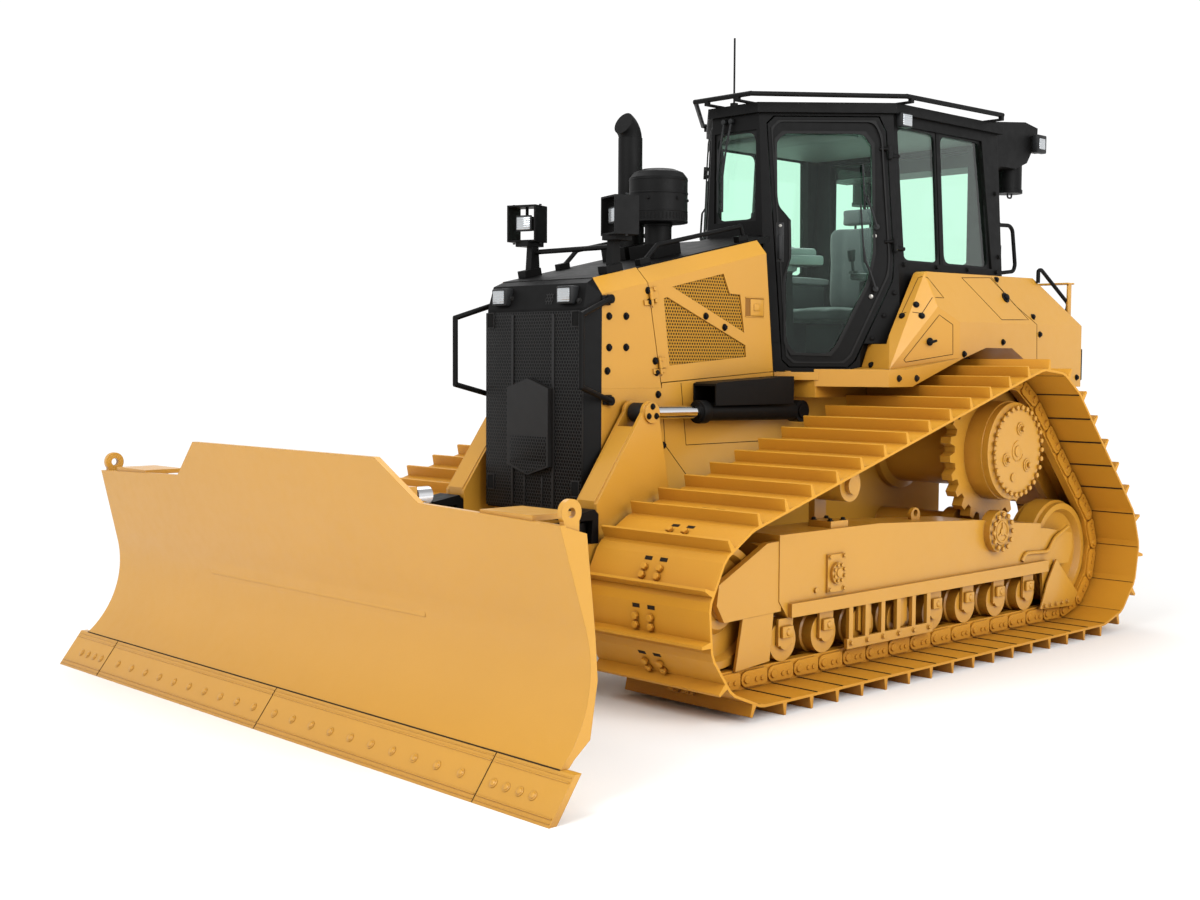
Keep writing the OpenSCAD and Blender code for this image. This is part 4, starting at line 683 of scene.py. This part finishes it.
DOOR_AT, DOOR_WAY, DOOR_OUT = Vector((-505, 260, 0)), Vector((-0.721, 0.693, 0)), Vector((0.693, 0.721, 0))
DOOR_W, DOOR_LOW, DOOR_HIGH = 811.2, 1676, 3158
DOOR_EDGE = ((96, DOOR_LOW + 42), (140, DOOR_LOW), (DOOR_W - 326, DOOR_LOW), (DOOR_W - 283, DOOR_LOW + 42),
             (DOOR_W - 64, DOOR_LOW + 520), (DOOR_W - 57, DOOR_LOW + 625), (DOOR_W - 108, DOOR_HIGH - 90),
             (DOOR_W - 150, DOOR_HIGH), (40, DOOR_HIGH), (-2, DOOR_HIGH - 42))
PANE_EDGE = ((118, DOOR_LOW + 160), (160, DOOR_LOW + 84), (DOOR_W - 440, DOOR_LOW + 78),
             (DOOR_W - 395, DOOR_LOW + 132), (DOOR_W - 212, DOOR_LOW + 508), (DOOR_W - 178, DOOR_LOW + 690),
             (DOOR_W - 192, DOOR_HIGH - 170), (DOOR_W - 245, DOOR_HIGH - 100), (100, DOOR_HIGH - 100),
             (54, DOOR_HIGH - 146), (60, DOOR_LOW + 1010), (70, DOOR_LOW + 950), (142, DOOR_LOW + 870),
             (146, DOOR_LOW + 650), (112, DOOR_LOW + 540))


# Wipers of a door: pivot, elbow and the ends of the blade, by the distance along the door and the height
DOOR_WIPERS = (((649, 2506), (592, 2672), (582, 2610), (566, 2880)),
               ((645, 2138), (585, 2300), (580, 2296), (556, 2640)))
DOOR_STUDS = ((640, 2454), (622, 2095))
LATCH_D, LATCH_Z = 78, 2414
CAB_BOLTS = ((-1068, 773, 2118), (-1019, 735, 1983), (-966, 691, 1847), (-1146, 783, 2288),
             (-1492, 783, 2288), (-1834, 783, 2288), (-2170, 783, 2288), (-2187, 753, 2792),
             (-2205, 777, 2387))


def on_door(s, d, z, out=0.0, node="cab_door"):
    """Point on the outside of a cab door or its pane, by the distance along it and the height."""
    way = sided(DOOR_OUT, s)
    far = sided(DOOR_AT + DOOR_WAY * d + DOOR_OUT * 300, s)
    place, _ = touch(f"{node}_{'left' if s > 0 else 'right'}", (far.x, far.y, z), -way)
    return place + way * out


def door_turn(s, d, z):
    """Matrix of a place on a cab door: along the door, up it, and out of it."""
    at = on_door(s, d, z)
    along, up = sided(DOOR_WAY, s), (on_door(s, d, z + 100) - at).normalized()
    out = along.cross(up)
    if out.dot(sided(DOOR_OUT, s)) < 0:
        out.negate()
    return Matrix.Translation(at * 0.001) @ Matrix((along, up, out)).transposed().to_4x4()


def inside(outline, by):
    """Outline drawn in towards its middle by some millimetres."""
    mid = [(min(p[i] for p in outline) + max(p[i] for p in outline)) / 2 for i in (0, 1)]

    def drawn(v, m):
        return m + (v - m) * (1 - by / max(abs(v - m), by * 2))

    return [(drawn(p[0], mid[0]), drawn(p[1], mid[1])) for p in outline]


def framed(bm, outline, wide, r, place, low, high):
    """Flat seal round an opening, square outside and rounded inside; place makes a point of its measures."""
    pts = [Vector((*p, 0)) for p in outline]
    outer = [bm.verts.new(place(*p, low) * 0.001) for p in inside(outline, -wide)]
    inner = [[bm.verts.new(place(v.x, v.y, low) * 0.001) for v in corner(a, b, c, r, 6)]
             for a, b, c in zip(pts[-1:] + pts, pts, pts[1:] + pts[:1])]
    faces = []
    for i, arc in enumerate(inner):
        j = (i + 1) % len(inner)
        faces += [bm.faces.new((outer[i], v, w)) for v, w in zip(arc, arc[1:])]
        faces.append(bm.faces.new((outer[i], arc[-1], inner[j][0], outer[j])))
    push_out(bm, faces, place(0, 0, high) - place(0, 0, low))


class DOZER_OT_cab(bpy.types.Operator):
    """Door and window rubbers, handles, wipers, studs and bolts of the cab"""
    bl_idname = "dozer.cab"
    bl_label = "Cab trim"

    def execute(self, context):
        for side, s in SIDES:
            body = f"cab_door_{side}"
            out = sided(DOOR_OUT, s)
            turn = door_turn(s, LATCH_D, LATCH_Z)

            def on_plane(d, z, lift):
                return turn @ mm(d - LATCH_D, z - LATCH_Z, lift) * 1000

            rubber, trim, plated = bmesh.new(), bmesh.new(), bmesh.new()
            framed(rubber, inside(DOOR_EDGE, 30), 9, 80, on_plane, -1, 5)
            framed(rubber, PANE_EDGE, 15, 70, on_plane, -2, 7)
            block(trim, (-24, -118, -6), (24, 118, 4), 4, turn)
            block(trim, (-13, -104, 2), (11, 44, 20), 8, turn)
            disc(plated, turn @ mm(0, 98, 3) * 1000, out, 9, 5, 16, 1)
            for pivot, elbow, *ends in DOOR_WIPERS:
                foot, knee = on_door(s, *pivot, 30), on_door(s, *elbow, 46, "door_glass")
                disc(trim, on_door(s, *pivot, -2), out, 17, 34, 18, 3)
                pipe(trim, rounded([foot, foot.lerp(knee, 0.5) + Vector((0, 0, 12)), knee], 60), 7)
                low, high = (on_door(s, *end, 26, "door_glass") for end in ends)
                pipe(trim, [low, low.lerp(high, 0.5), high], 6, 8)
                pipe(trim, [knee, low.lerp(high, 0.35)], 6, 8)
            for stud in DOOR_STUDS:
                disc(plated, on_door(s, *stud), out, 13, 8, 18, 2)
            piece(rubber, f"door_rubber_{side}", body, "rubber")
            piece(trim, f"door_fittings_{side}", body, "black_plastic")
            piece(plated, f"door_studs_{side}", body, "zinc_steel")
        bolts, rubber = bmesh.new(), bmesh.new()
        for _, s in SIDES:
            for at in mirrored(CAB_BOLTS, s):
                bolt(bolts, *settle("cab_frame", at), 20)
            low, high = (touch("cab_glass", (-1400, s * 1200, z), (0, -s, 0))[0] for z in (2400, 3000))

            def on_side(x, z, out):
                return Vector((x, low.y + (high.y - low.y) * (z - 2400) / 600 + s * out, z))

            for x in ((-1166, -1537, -1537, -1140), (-1603, -2108, -2064, -1603)):
                framed(rubber, list(zip(x, (2319, 2319, 3104, 3104))), 13, 60, on_side, 0.5, 9)
        for x, wide, bottom, top in ((300, 152, 2558, 3072), (-3000, 546, 2344, 3066)):
            face = touch("cab_glass", (x, 0, 2700), (-x, 0, 0))[0].x
            way = 1 if x > 0 else -1

            def on_end(y, z, out):
                return Vector((face + way * out, y, z))

            frame_edge = [(-wide, bottom), (wide, bottom), (wide, top), (-wide, top)]
            framed(rubber, frame_edge, 12, 70, on_end, 0.5, 9)
        piece(bolts, "cab_bolts", "chassis", "black_enamel")
        piece(rubber, "window_rubber", "chassis", "rubber")
        trim = bmesh.new()
        for y, lean in ((-77, -40), (-20, -60)):
            pivot = Vector((-490, y, 3150))
            disc(trim, pivot - Vector((14, 0, 0)), (1, 0, 0), 16, 26, 16, 3)
            tip = Vector((-478, y + lean, 2800))
            pipe(trim, rounded([pivot, pivot + (tip - pivot) * 0.5 + Vector((10, 0, 0)), tip], 80), 7)
            pipe(trim, [tip + Vector((-6, 0, 190)), tip + Vector((-6, 0, -190))], 6, 8)
        piece(trim, "windscreen_wipers", "chassis", "black_plastic")
        return {"FINISHED"}


# Fender lines and fasteners on the left side, found on the panels by their nearest point
FENDER_SEAMS = (
    ((-1571, 912, 2223), (-1899, 907, 2237), (-2167, 1027, 1978), (-1846, 1030, 1971), (-1571, 912, 2223)),
    ((-1914, 905, 2241), (-2068, 985, 2070), (-2247, 1040, 1949), (-2252, 1040, 1830), (-2256, 1040, 1700)),
    ((-1030, 853, 1991), (-1170, 871, 2208), (-1199, 917, 2208), (-1286, 975, 2089), (-1175, 966, 2086),
     (-1094, 953, 1993), (-1030, 853, 1991)),
    ((-930, 944, 1720), (-1199, 1004, 1986), (-1307, 1027, 1930), (-1312, 1028, 1754), (-946, 947, 1706),
     (-930, 944, 1720)))
FENDER_BOLTS = ((-1082, 919, 2045), (-1022, 863, 1978), (-1087, 956, 1979), (-1965, 912, 2227),
                (-2234, 1018, 1998), (-2284, 1040, 1887), (-1846, 1040, 1832), (-1413, 1040, 1756),
                (-890, 740, 1690), (-2765, 1040, 1610))
REAR_HANDLES = (((-2450, 925, 2225), (-2450, 925, 2305), (-2480, 928, 2312), (-2800, 948, 2100),
                 (-2790, 948, 2060), (-2740, 945, 2010)),
                ((-2236, 742, 2598), (-2380, 748, 2602), (-2415, 750, 2575), (-2452, 752, 2345),
                 (-2430, 752, 2305), (-2236, 748, 2285)))


class DOZER_OT_fenders(bpy.types.Operator):
    """Seams, bolts, knobs, steps and handles of the fenders and the rear"""
    bl_idname = "dozer.fenders"
    bl_label = "Fender fittings"

    def execute(self, context):
        width = context.scene.dozer_sizes.bolt * 1000
        for side, s in SIDES:
            node = f"fender_{side}"
            bm = bmesh.new()
            # Thin dark bars along the fender seams: painted shade in the gaps; the two deck bolts below share
            # their colour
            for line in FENDER_SEAMS:
                pts = mirrored(line, s)
                steps = [a.lerp(b, t) for a, b in zip(pts, pts[1:]) for t in (0, 0.25, 0.5, 0.75)]
                pipe(bm, [settle(node, at)[0] for at in steps + pts[-1:]], 2.0, 6)
            for x in (-746, -921):
                bolt(bm, *settle("deck", (x, 1040 * s, 1613)), width)
            piece(bm, f"fender_seams_{side}", "chassis", "painted_gap_shade")
            bm = bmesh.new()
            for at in mirrored(FENDER_BOLTS, s):
                bolt(bm, *settle(node, at), width)
            at, normal = settle(node, (-1987, 965 * s, 2113))
            disc(bm, at, normal, 34, 8, 24, 3)
            disc(bm, at + normal * 8, normal, 22, 16, 20, 5, top=17)
            at, normal = settle(node, (-1126, 987 * s, 1827))
            disc(bm, at, normal, 24, 7, 20, 2)
            disc(bm, at + normal * 6, normal, 9, 22, 12)
            block(bm, (-30, -8, 22), (30, 8, 38), 5, facing(at, normal))
            block(bm, (-2846, s * 962, 1590), (-2819, s * 1038, 1800), 8)
            piece(bm, f"fender_bolts_{side}", "chassis", "black_enamel")
            bm = bmesh.new()
            for path in REAR_HANDLES:
                pipe(bm, rounded(mirrored(path, s), 40), 13)
            for at in ((-2240, 742, 2598), (-2240, 748, 2285)):
                disc(bm, sided(at, s), (-1, 0, 0), 24, 10, 18, 3)
            block(bm, (-2300, s * 728, 2330), (-2240, s * 742, 2470), 4)
            piece(bm, f"rear_handles_{side}", "chassis", "black_enamel")
            bm = bmesh.new()
            for x in (-2836, -2776):
                block(bm, (x, s * 640, 2226), (x + 20, s * 972, 2238), 2)
            for y in (644, 752, 860, 950):
                block(bm, (-2818, s * y, 2227), (-2774, s * (y + 18), 2237), 2)
            for y in (642, 952):
                block(bm, (-2812, s * y, 1960), (-2768, s * (y + 14), 2230), 3)
            piece(bm, f"rear_step_{side}", "chassis", "yellow_enamel")
            bm = bmesh.new()
            for t in range(9):
                x, y = -566 + t * 9, 330 + t * 19
                disc(bm, settle("deck", (x + 40, s * y, 1681))[0], (0, 0, 1), 8, 6, 10, 0, top=5)
            piece(bm, f"step_grips_{side}", "chassis", "yellow_enamel")
        return {"FINISHED"}


# Places on the roller frame: the small cover, the cap of the pivot shaft, the rollers and the idler's guard
HUB_X, HUB_Z, PIVOT_X, PIVOT_Z = 84, 600, -1480, 700
ROLLERS, ROLLER_X0, ROLLER_X1 = 8, 480, -1880
IDLER_GUARD = ((-2077, 332), (-2180, 470), (-2456, 232), (-2386, 152), (-2000, 172))
IDLER_STRAP = ((-1782, 1243, 492), (-1821, 1243, 538), (-2089, 1243, 526), (-2170, 1243, 607),
               (-2330, 1243, 665))


class DOZER_OT_frames(bpy.types.Operator):
    """Covers, caps and bolts of the roller frames and lift towers"""
    bl_idname = "dozer.frames"
    bl_label = "Roller frame fittings"

    def execute(self, context):
        for side, s in SIDES:
            node, out = f"track_frame_{side}", (0, s, 0)
            bm = bmesh.new()
            hub = settle(node, (HUB_X, s * 1300, HUB_Z))[0]
            for at in ring(HUB_X, hub.y, HUB_Z, 44, 8, 0.5):
                bolt(bm, at, out, 17, washer=False)
            disc(bm, (HUB_X, hub.y, HUB_Z), out, 24, 6, 24, 2)
            for x in (HUB_X - 60, HUB_X + 60):
                for z in (HUB_Z - 88, HUB_Z + 86):
                    bolt(bm, settle(node, (x, s * 1250, z))[0], out, 18)
            cap = settle(node, (PIVOT_X, s * 1400, PIVOT_Z))[0]
            rim = settle(node, (PIVOT_X, s * 1400, PIVOT_Z + 105))[0]
            for at in ring(PIVOT_X, rim.y, PIVOT_Z, 104, 12):
                bolt(bm, at, out, 27, washer=False)
            lip = ring(PIVOT_X, cap.y, PIVOT_Z, 62, 24)
            pipe(bm, lip + lip[:1], 7, 8)
            disc(bm, (PIVOT_X, cap.y, PIVOT_Z), out, 22, 7, 24, 2)
            for i in range(3):
                spoke = Matrix.Rotation(i / 3 * math.tau + 0.5, 4, "Z")
                block(bm, (20, -5, 0), (58, 5, 6), 1.5, facing((PIVOT_X, cap.y, PIVOT_Z), out) @ spoke)
            for i in range(6):
                bolt(bm, settle(node, (-757 + i * 145, s * 1290, 212))[0], out, 20)
            # Clamps over the roller ends and the guard behind the last roller
            for i in range(ROLLERS):
                x = ROLLER_X0 + i * (ROLLER_X1 - ROLLER_X0) / (ROLLERS - 1)
                # The guard plate hides the rollers in the middle
                if not -810 < x < 10:
                    block(bm, (x - 44, s * 1229, 300), (x + 44, s * 1250, 362), 7)
                    disc(bm, (x, s * 1249, 330), out, 20, 8, 18, 3, top=15)
            slab(bm, [(x, s * 1240, z) for x, z in IDLER_GUARD], (0, s * 14, 0), 3)
            for x in range(-2040, -2321, -70):
                bolt(bm, (x, s * 1254, 190), out, 20)
            pipe(bm, rounded(mirrored(IDLER_STRAP, s), 30), 12)
            disc(bm, settle(node, (247, s * 1260, 520))[0], out, 14, 12, 16, 3)
            piece(bm, f"frame_bolts_{side}", "chassis", "yellow_enamel")
            bm = bmesh.new()
            for x in (-40, 70):
                for y in (1080, 1190):
                    bolt(bm, settle(node, (x, s * y, 900))[0], (0, 0, 1), 22)
            piece(bm, f"frame_pad_bolts_{side}", "chassis", "black_enamel")
            bm = bmesh.new()
            for x, z in ((836, 1470), (808, 1420), (864, 1420)):
                bolt(bm, (x, s * 620, z), out, 20)
            piece(bm, f"tower_bolts_{side}", "push_frame", "black_enamel")
        return {"FINISHED"}


EDGE_LOW, EDGE_HIGH, EDGE_OUT = Vector((2835, 0, 0)), Vector((2706, 0, 174)), Vector((0.8033, 0, 0.5955))


def on_edge(y, share, out=0.0):
    """Point on the front face of the cutting edge, by its share of the height; millimetres."""
    return EDGE_LOW.lerp(EDGE_HIGH, share) + Vector((0, y, 0)) + EDGE_OUT * out


class DOZER_OT_blade(bpy.types.Operator):
    """Bolts, ridges and seams of the cutting edge and end bits"""
    bl_idname = "dozer.blade"
    bl_label = "Blade hardware"

    def execute(self, context):
        count = context.scene.dozer_sizes.edge_bolts
        bm = bmesh.new()
        for s in (1, -1):
            rows = [90 + i * (1456 - 90) / (count - 1) for i in range(count)] + [1655, 1732, 1810, 1886]
            for y in rows:
                disc(bm, on_edge(s * y, 0.45, -0.2), EDGE_OUT, 20, 3, 18, 1)
                disc(bm, on_edge(s * y, 0.45, 2.5), EDGE_OUT, 15, 5, 16, 2, top=11)
        for share, r in ((0.93, 3), (0.84, 4), (0.16, 4), (0.07, 3)):
            for a, b in ((-2032, -1600), (-1584, -4), (4, 1584), (1600, 2032)):
                pipe(bm, [on_edge(a, share), on_edge(b, share)], r, 8)
        piece(bm, "edge_bolts", "blade", "yellow_enamel")
        bm = bmesh.new()
        # Thin dark bars along the joints between the cutting edges and along their top against the moldboard:
        # painted shade in the gaps
        for y in (-1592, 0, 1592):
            pipe(bm, [on_edge(y, 0.01), on_edge(y, 0.99)], 2.4, 6)
        pipe(bm, [(2705, -1958, 175.5), (2705, 1958, 175.5)], 3.2, 6)
        piece(bm, "edge_seams", "blade", "painted_gap_shade")
        # Filler over the stiffener's corner, which stands out of the moldboard's face, fading out at its rim
        bm = bmesh.new()
        rows = []
        for i in range(25):
            z = 560 + i * 5
            x = touch("blade", (4000, 1100, z), (-1, 0, 0))[0].x
            fade = min(1, i / 10, (24 - i) / 10)
            rows.append([bm.verts.new(mm(x - 0.5 + 1.9 * min(fade, (900 - abs(y)) / 90, 1), y, z))
                         for y in range(-900, 901, 45)])
        cells = [(a[k], a[k + 1], b[k + 1], b[k]) for a, b in zip(rows, rows[1:]) for k in range(len(a) - 1)]
        push_out(bm, [bm.faces.new(cell) for cell in cells], (-3, 0, 0))
        piece(bm, "moldboard_filler", "blade", "yellow_enamel")
        return {"FINISHED"}


WAIST = 0.05


def cushion(bm, lo, hi, crown, grooves, axis):
    """Stuffed pad between two corners: crowned faces, sides drawn in between the corners, sewn channels."""
    lo, hi = Vector(lo), Vector(hi)
    mid, half = (lo + hi) / 2, (hi - lo) / 2
    bmesh.ops.create_cube(bm, size=2)
    bmesh.ops.subdivide_edges(bm, edges=bm.edges[:], cuts=11, use_grid_fill=True)
    flat = [i for i in (0, 1, 2) if i != axis]
    for v in bm.verts:
        p = Vector(v.co)
        a, b = p[flat[0]], p[flat[1]]
        round_off = (abs(p.x) ** 8 + abs(p.y) ** 8 + abs(p.z) ** 8) ** (1 / 8)
        p = p / max(round_off, 1)
        p[flat[0]] *= 1 - WAIST * (1 - b * b)
        p[flat[1]] *= 1 - WAIST * (1 - a * a)
        rise = crown * (1 - a * a) * (1 - b * b)
        for line, along in grooves:
            where = p[flat[along]]
            rise -= 0.22 * math.exp(-((where - line) / 0.045) ** 2)
        p[axis] *= 1 - crown + max(rise, -0.3)
        v.co = (mid + Vector(p[i] * half[i] for i in range(3))) * 0.001


class DOZER_OT_seat(bpy.types.Operator):
    """Padded operator seat with its armrests"""
    bl_idname = "dozer.seat"
    bl_label = "Operator seat"

    def execute(self, context):
        for name, lo, hi, crown, grooves, axis in (
                ("seat_cushion", (-1775, -250, 1948), (-1230, 250, 2062), 0.24, ((-0.5, 1), (0.5, 1)), 2),
                ("seat_back", (-1850, -235, 2050), (-1715, 235, 2600), 0.24,
                 ((-0.45, 0), (0.45, 0), (0.2, 1)), 0),
                ("seat_headrest", (-1850, -150, 2612), (-1755, 150, 2718), 0.2, (), 0),
                ("seat_armrest_left", (-1795, 258, 2215), (-1300, 326, 2268), 0.18, (), 2),
                ("seat_armrest_right", (-1795, -326, 2215), (-1300, -258, 2268), 0.18, (), 2)):
            bm = bmesh.new()
            cushion(bm, lo, hi, crown, grooves, axis)
            pad = piece(bm, name, "chassis", "seat_cloth", 80)
            soft = pad.modifiers.new("soft", "SUBSURF")
            soft.levels = soft.render_levels = 1
        bm = bmesh.new()
        block(bm, (-1690, -165, 1681), (-1390, 165, 1760), 12)
        for x in (-1660, -1540, -1420):
            block(bm, (x - 30, -150, 1755), (x + 30, 150, 1952), 14)
        block(bm, (-1915, -200, 2060), (-1848, 200, 2560), 20)
        for y in (-60, 60):
            pipe(bm, [(-1800, y, 2560), (-1800, y, 2640)], 8)
        for y in (-290, 290):
            block(bm, (-1740, y - 26, 1975), (-1400, y + 26, 2216), 14)
        shell = piece(bm, "seat_shell", "chassis", "black_plastic")
        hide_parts("operator_seat")
        bm = bmesh.new()
        for y, top in ((-290, 2400), (290, 2395)):
            x = -1310
            disc(bm, (x, y, 2262), (0.1, 0, 1), 34, 16, 20, 5, top=26)
            pipe(bm, [(x, y, 2270), (x + 14, y, top - 40)], 10)
            disc(bm, (x + 14, y, top - 60), (0.15, 0, 1), 20, 74, 18, 8, top=27)
        piece(bm, "control_levers", "chassis", "black_plastic")
        return {"FINISHED"}


class DOZER_OT_interior(bpy.types.Operator):
    """Headliner, floor mat, dash hood, screen and pedals of the cab"""
    bl_idname = "dozer.interior"
    bl_label = "Cab interior"

    def execute(self, context):
        bm = bmesh.new()
        plan = [(-575, -200), (-575, 200), (-1080, 650), (-2120, 650), (-2120, -650), (-1080, -650)]
        slab(bm, [(x, y, 3108) for x, y in plan], (0, 0, 14), 4)
        block(bm, (-1180, -420, 3076), (-860, 420, 3110), 12)
        piece(bm, "cab_headliner", "chassis", "grey_plastic")
        bm = bmesh.new()
        slab(bm, [(x * 0.985 - 14, y * 0.985, 1682) for x, y in plan], (0, 0, 8), 2)
        for y in (-110, 0, 110):
            block(bm, (-860, y - 34, 1800), (-838, y + 34, 1900), 6)
            pipe(bm, [(-850, y, 1810), (-760, y, 1700)], 9)
        piece(bm, "floor_mat_and_pedals", "chassis", "rubber")
        bm = bmesh.new()
        hood = [(-660, -190), (-660, 190), (-935, 345), (-985, 250), (-985, -250), (-935, -345)]
        slab(bm, [(x, y, 2290) for x, y in hood], (0, 0, 62), 14)
        slab(bm, [(x * 0.98 - 8, y * 0.86, 2340) for x, y in hood], (0, 0, 58), 20)
        block(bm, (-860, -215, 2250), (-650, 215, 2405), 24)
        for y in (-150, 0, 150):
            disc(bm, (-984.5, y, 2321), (-1, 0, 0), 16, 6, 20, 2)
        piece(bm, "dash_hood", "chassis", "grey_plastic")
        bm = bmesh.new()
        face = [(-801, -108, 2462), (-801, 108, 2462), (-819, 108, 2618), (-819, -108, 2618)]
        slab(bm, face, (-4, 0, 0), 1)
        piece(bm, "dash_screen", "chassis", "screen_glass")
        return {"FINISHED"}


# Cylinders on the left side: barrel pin, rod eye, radius of the barrel and distance of its gland from the pin
LIFT_EYE = (836, 530, 1437)
CYLINDERS = (("lift", (-465, 530, 1420), LIFT_EYE, 50, 862),
             ("angle", (1310, 540, 850), (2225, 600, 850), 52, 547))


class DOZER_OT_hydraulics(bpy.types.Operator):
    """Gland rings and ports of the cylinders, boots on the eyes of the lift rods"""
    bl_idname = "dozer.hydraulics"
    bl_label = "Cylinder fittings"

    def execute(self, context):
        for side, s in SIDES:
            for kind, pin, eye, r, gland in CYLINDERS:
                a = sided(pin, s)
                way = (sided(eye, s) - a).normalized()
                bm = bmesh.new()
                for t, w, grow in ((gland - 58, 22, 7), (gland - 26, 24, 5)):
                    disc(bm, a + way * t, way, r + grow, w, 32, 3)
                if kind == "lift":
                    disc(bm, a + way * (gland - 62), way, r + 14, 62, 36, 4)
                disc(bm, a + way * (gland - 46), (0, 0, 1), 16, r + 14, 16, 3)
                piece(bm, f"{kind}_gland_{side}", f"{kind}_barrel_{side}", "black_enamel")
            bm = bmesh.new()
            x, y, z = LIFT_EYE
            disc(bm, (x, s * (y - 46), z), (0, s, 0), 51, 92, 32, 5)
            piece(bm, f"lift_eye_boot_{side}", f"lift_rod_{side}", "rubber")
        return {"FINISHED"}


# Brightness of the white backdrop, softboxes as place, aim, size and power, and the photograph's viewpoint
BACKDROP = 1.06
LIGHTS = (("key_softbox", (9, 1, 8), (0.5, 0, 1.2), 6, 650),
          ("side_softbox", (1, 10, 6), (-0.5, 0, 1.0), 7, 820),
          ("top_softbox", (-2, -3, 9), (0, 0, 1.5), 8, 420),
          ("cab_lamp", (-1.25, 0, 3.05), (-1.25, 0, 1.7), 0.7, 26))
CAMERA_AT, CAMERA_WAY = (6477.74, 6073.66, 1709.46), (-0.693218, -0.718279, -0.059357)
CAMERA_LENS, CAMERA_ROLL = 45.386, 0.2835


class DOZER_OT_stage(bpy.types.Operator):
    """Pale floor, soft studio light and the camera at the photograph's angle"""
    bl_idname = "dozer.stage"
    bl_label = "Stage"

    def execute(self, context):
        scene = context.scene
        tree, where = new_material("studio_floor")
        cloud = add(tree, "TexNoise", {"Vector": where, "Scale": 0.4})
        tone = add(tree, "Mix", {0: cloud, 6: linear("f1f1f0"), 7: linear("f6f6f5")}, data_type="RGBA")
        matt = add(tree, "BsdfPrincipled", {"Base Color": tone, "Roughness": 0.9})
        # The pale floor runs into a lit white sweep some metres out, so no horizon shows
        white = add(tree, "Emission", {"Strength": BACKDROP})
        reach = add(tree, "VectorMath", {0: where}, operation="LENGTH")
        sweep = add(tree, "MapRange", {"Value": reach, "From Min": 3.5, "From Max": 8.0},
                    interpolation_type="SMOOTHSTEP")
        shader = add(tree, "MixShader", {0: sweep, 1: matt, 2: white})
        add(tree, "OutputMaterial", {"Surface": shader})
        bm = bmesh.new()
        bmesh.ops.create_grid(bm, x_segments=1, y_segments=1, size=60)
        mesh = bpy.data.meshes.new("studio_floor")
        bm.to_mesh(mesh)
        bm.free()
        mesh.materials.append(stock("studio_floor"))
        floor = bpy.data.objects.new("studio_floor", mesh)
        scene.collection.objects.link(floor)
        world = bpy.data.worlds.new("studio_white")
        world.use_nodes = True
        tree = world.node_tree
        # White backdrop all round that dims overhead, so that the softboxes shape the machine
        way = add(tree, "SeparateXYZ", {0: add(tree, "TexCoord").outputs["Generated"]})
        glow = add(tree, "MapRange", {"Value": way.outputs[2], "From Min": 0.22, "From Max": 0.6,
                                      "To Min": BACKDROP, "To Max": 0.55})
        tree.nodes["Background"].inputs["Color"].default_value = (1, 1, 1, 1)
        tree.links.new(glow.outputs["Result"], tree.nodes["Background"].inputs["Strength"])
        scene.world = world
        scene.view_settings.view_transform = "Standard"
        for name, at, aim, size, power in LIGHTS:
            data = bpy.data.lights.new(name, "AREA")
            data.shape = "SQUARE"
            data.size = size
            data.energy = power
            lamp = bpy.data.objects.new(name, data)
            lamp.location = at
            lamp.rotation_euler = (Vector(aim) - Vector(at)).to_track_quat("-Z", "Y").to_euler()
            # The cab's own lamp lifts the trim, and leaves no glint on it
            lamp.visible_glossy = name != "cab_lamp"
            scene.collection.objects.link(lamp)
        data = bpy.data.cameras.new("photo_camera")
        data.sensor_width = 36.0
        data.lens = CAMERA_LENS
        camera = bpy.data.objects.new("photo_camera", data)
        camera.location = mm(*CAMERA_AT)
        look = Vector(CAMERA_WAY).to_track_quat("-Z", "Y")
        roll = Quaternion((0, 0, 1), math.radians(CAMERA_ROLL))
        camera.rotation_mode = "QUATERNION"
        camera.rotation_quaternion = look @ roll
        scene.collection.objects.link(camera)
        scene.camera = camera
        return {"FINISHED"}


class DOZER_PT_panel(bpy.types.Panel):
    """Steps of the bulldozer's looks"""
    bl_label = "Bulldozer"
    bl_idname = "DOZER_PT_panel"
    bl_space_type = "VIEW_3D"
    bl_region_type = "UI"
    bl_category = "Dozer"

    def draw(self, context):
        for group in (context.scene.dozer_paint, context.scene.dozer_sizes):
            for key in group.__annotations__:
                self.layout.prop(group, key)
        for step in STEPS:
            self.layout.operator(step.bl_idname)


STEPS = (DOZER_OT_paint, DOZER_OT_hood, DOZER_OT_tracks, DOZER_OT_drives, DOZER_OT_grille, DOZER_OT_stack,
         DOZER_OT_lamps, DOZER_OT_cab, DOZER_OT_fenders, DOZER_OT_frames, DOZER_OT_blade, DOZER_OT_seat,
         DOZER_OT_interior, DOZER_OT_hydraulics, DOZER_OT_stage)
CLASSES = (DozerPaint, DozerSizes) + STEPS + (DOZER_PT_panel,)


def register():
    for cls in CLASSES:
        bpy.utils.register_class(cls)
    bpy.types.Scene.dozer_paint = PointerProperty(type=DozerPaint)
    bpy.types.Scene.dozer_sizes = PointerProperty(type=DozerSizes)


def unregister():
    del bpy.types.Scene.dozer_sizes
    del bpy.types.Scene.dozer_paint
    for cls in reversed(CLASSES):
        bpy.utils.unregister_class(cls)


def main():
    register()
    for step in STEPS:
        group, name = step.bl_idname.split(".")
        getattr(getattr(bpy.ops, group), name)()


if __name__ == "__main__":
    main()
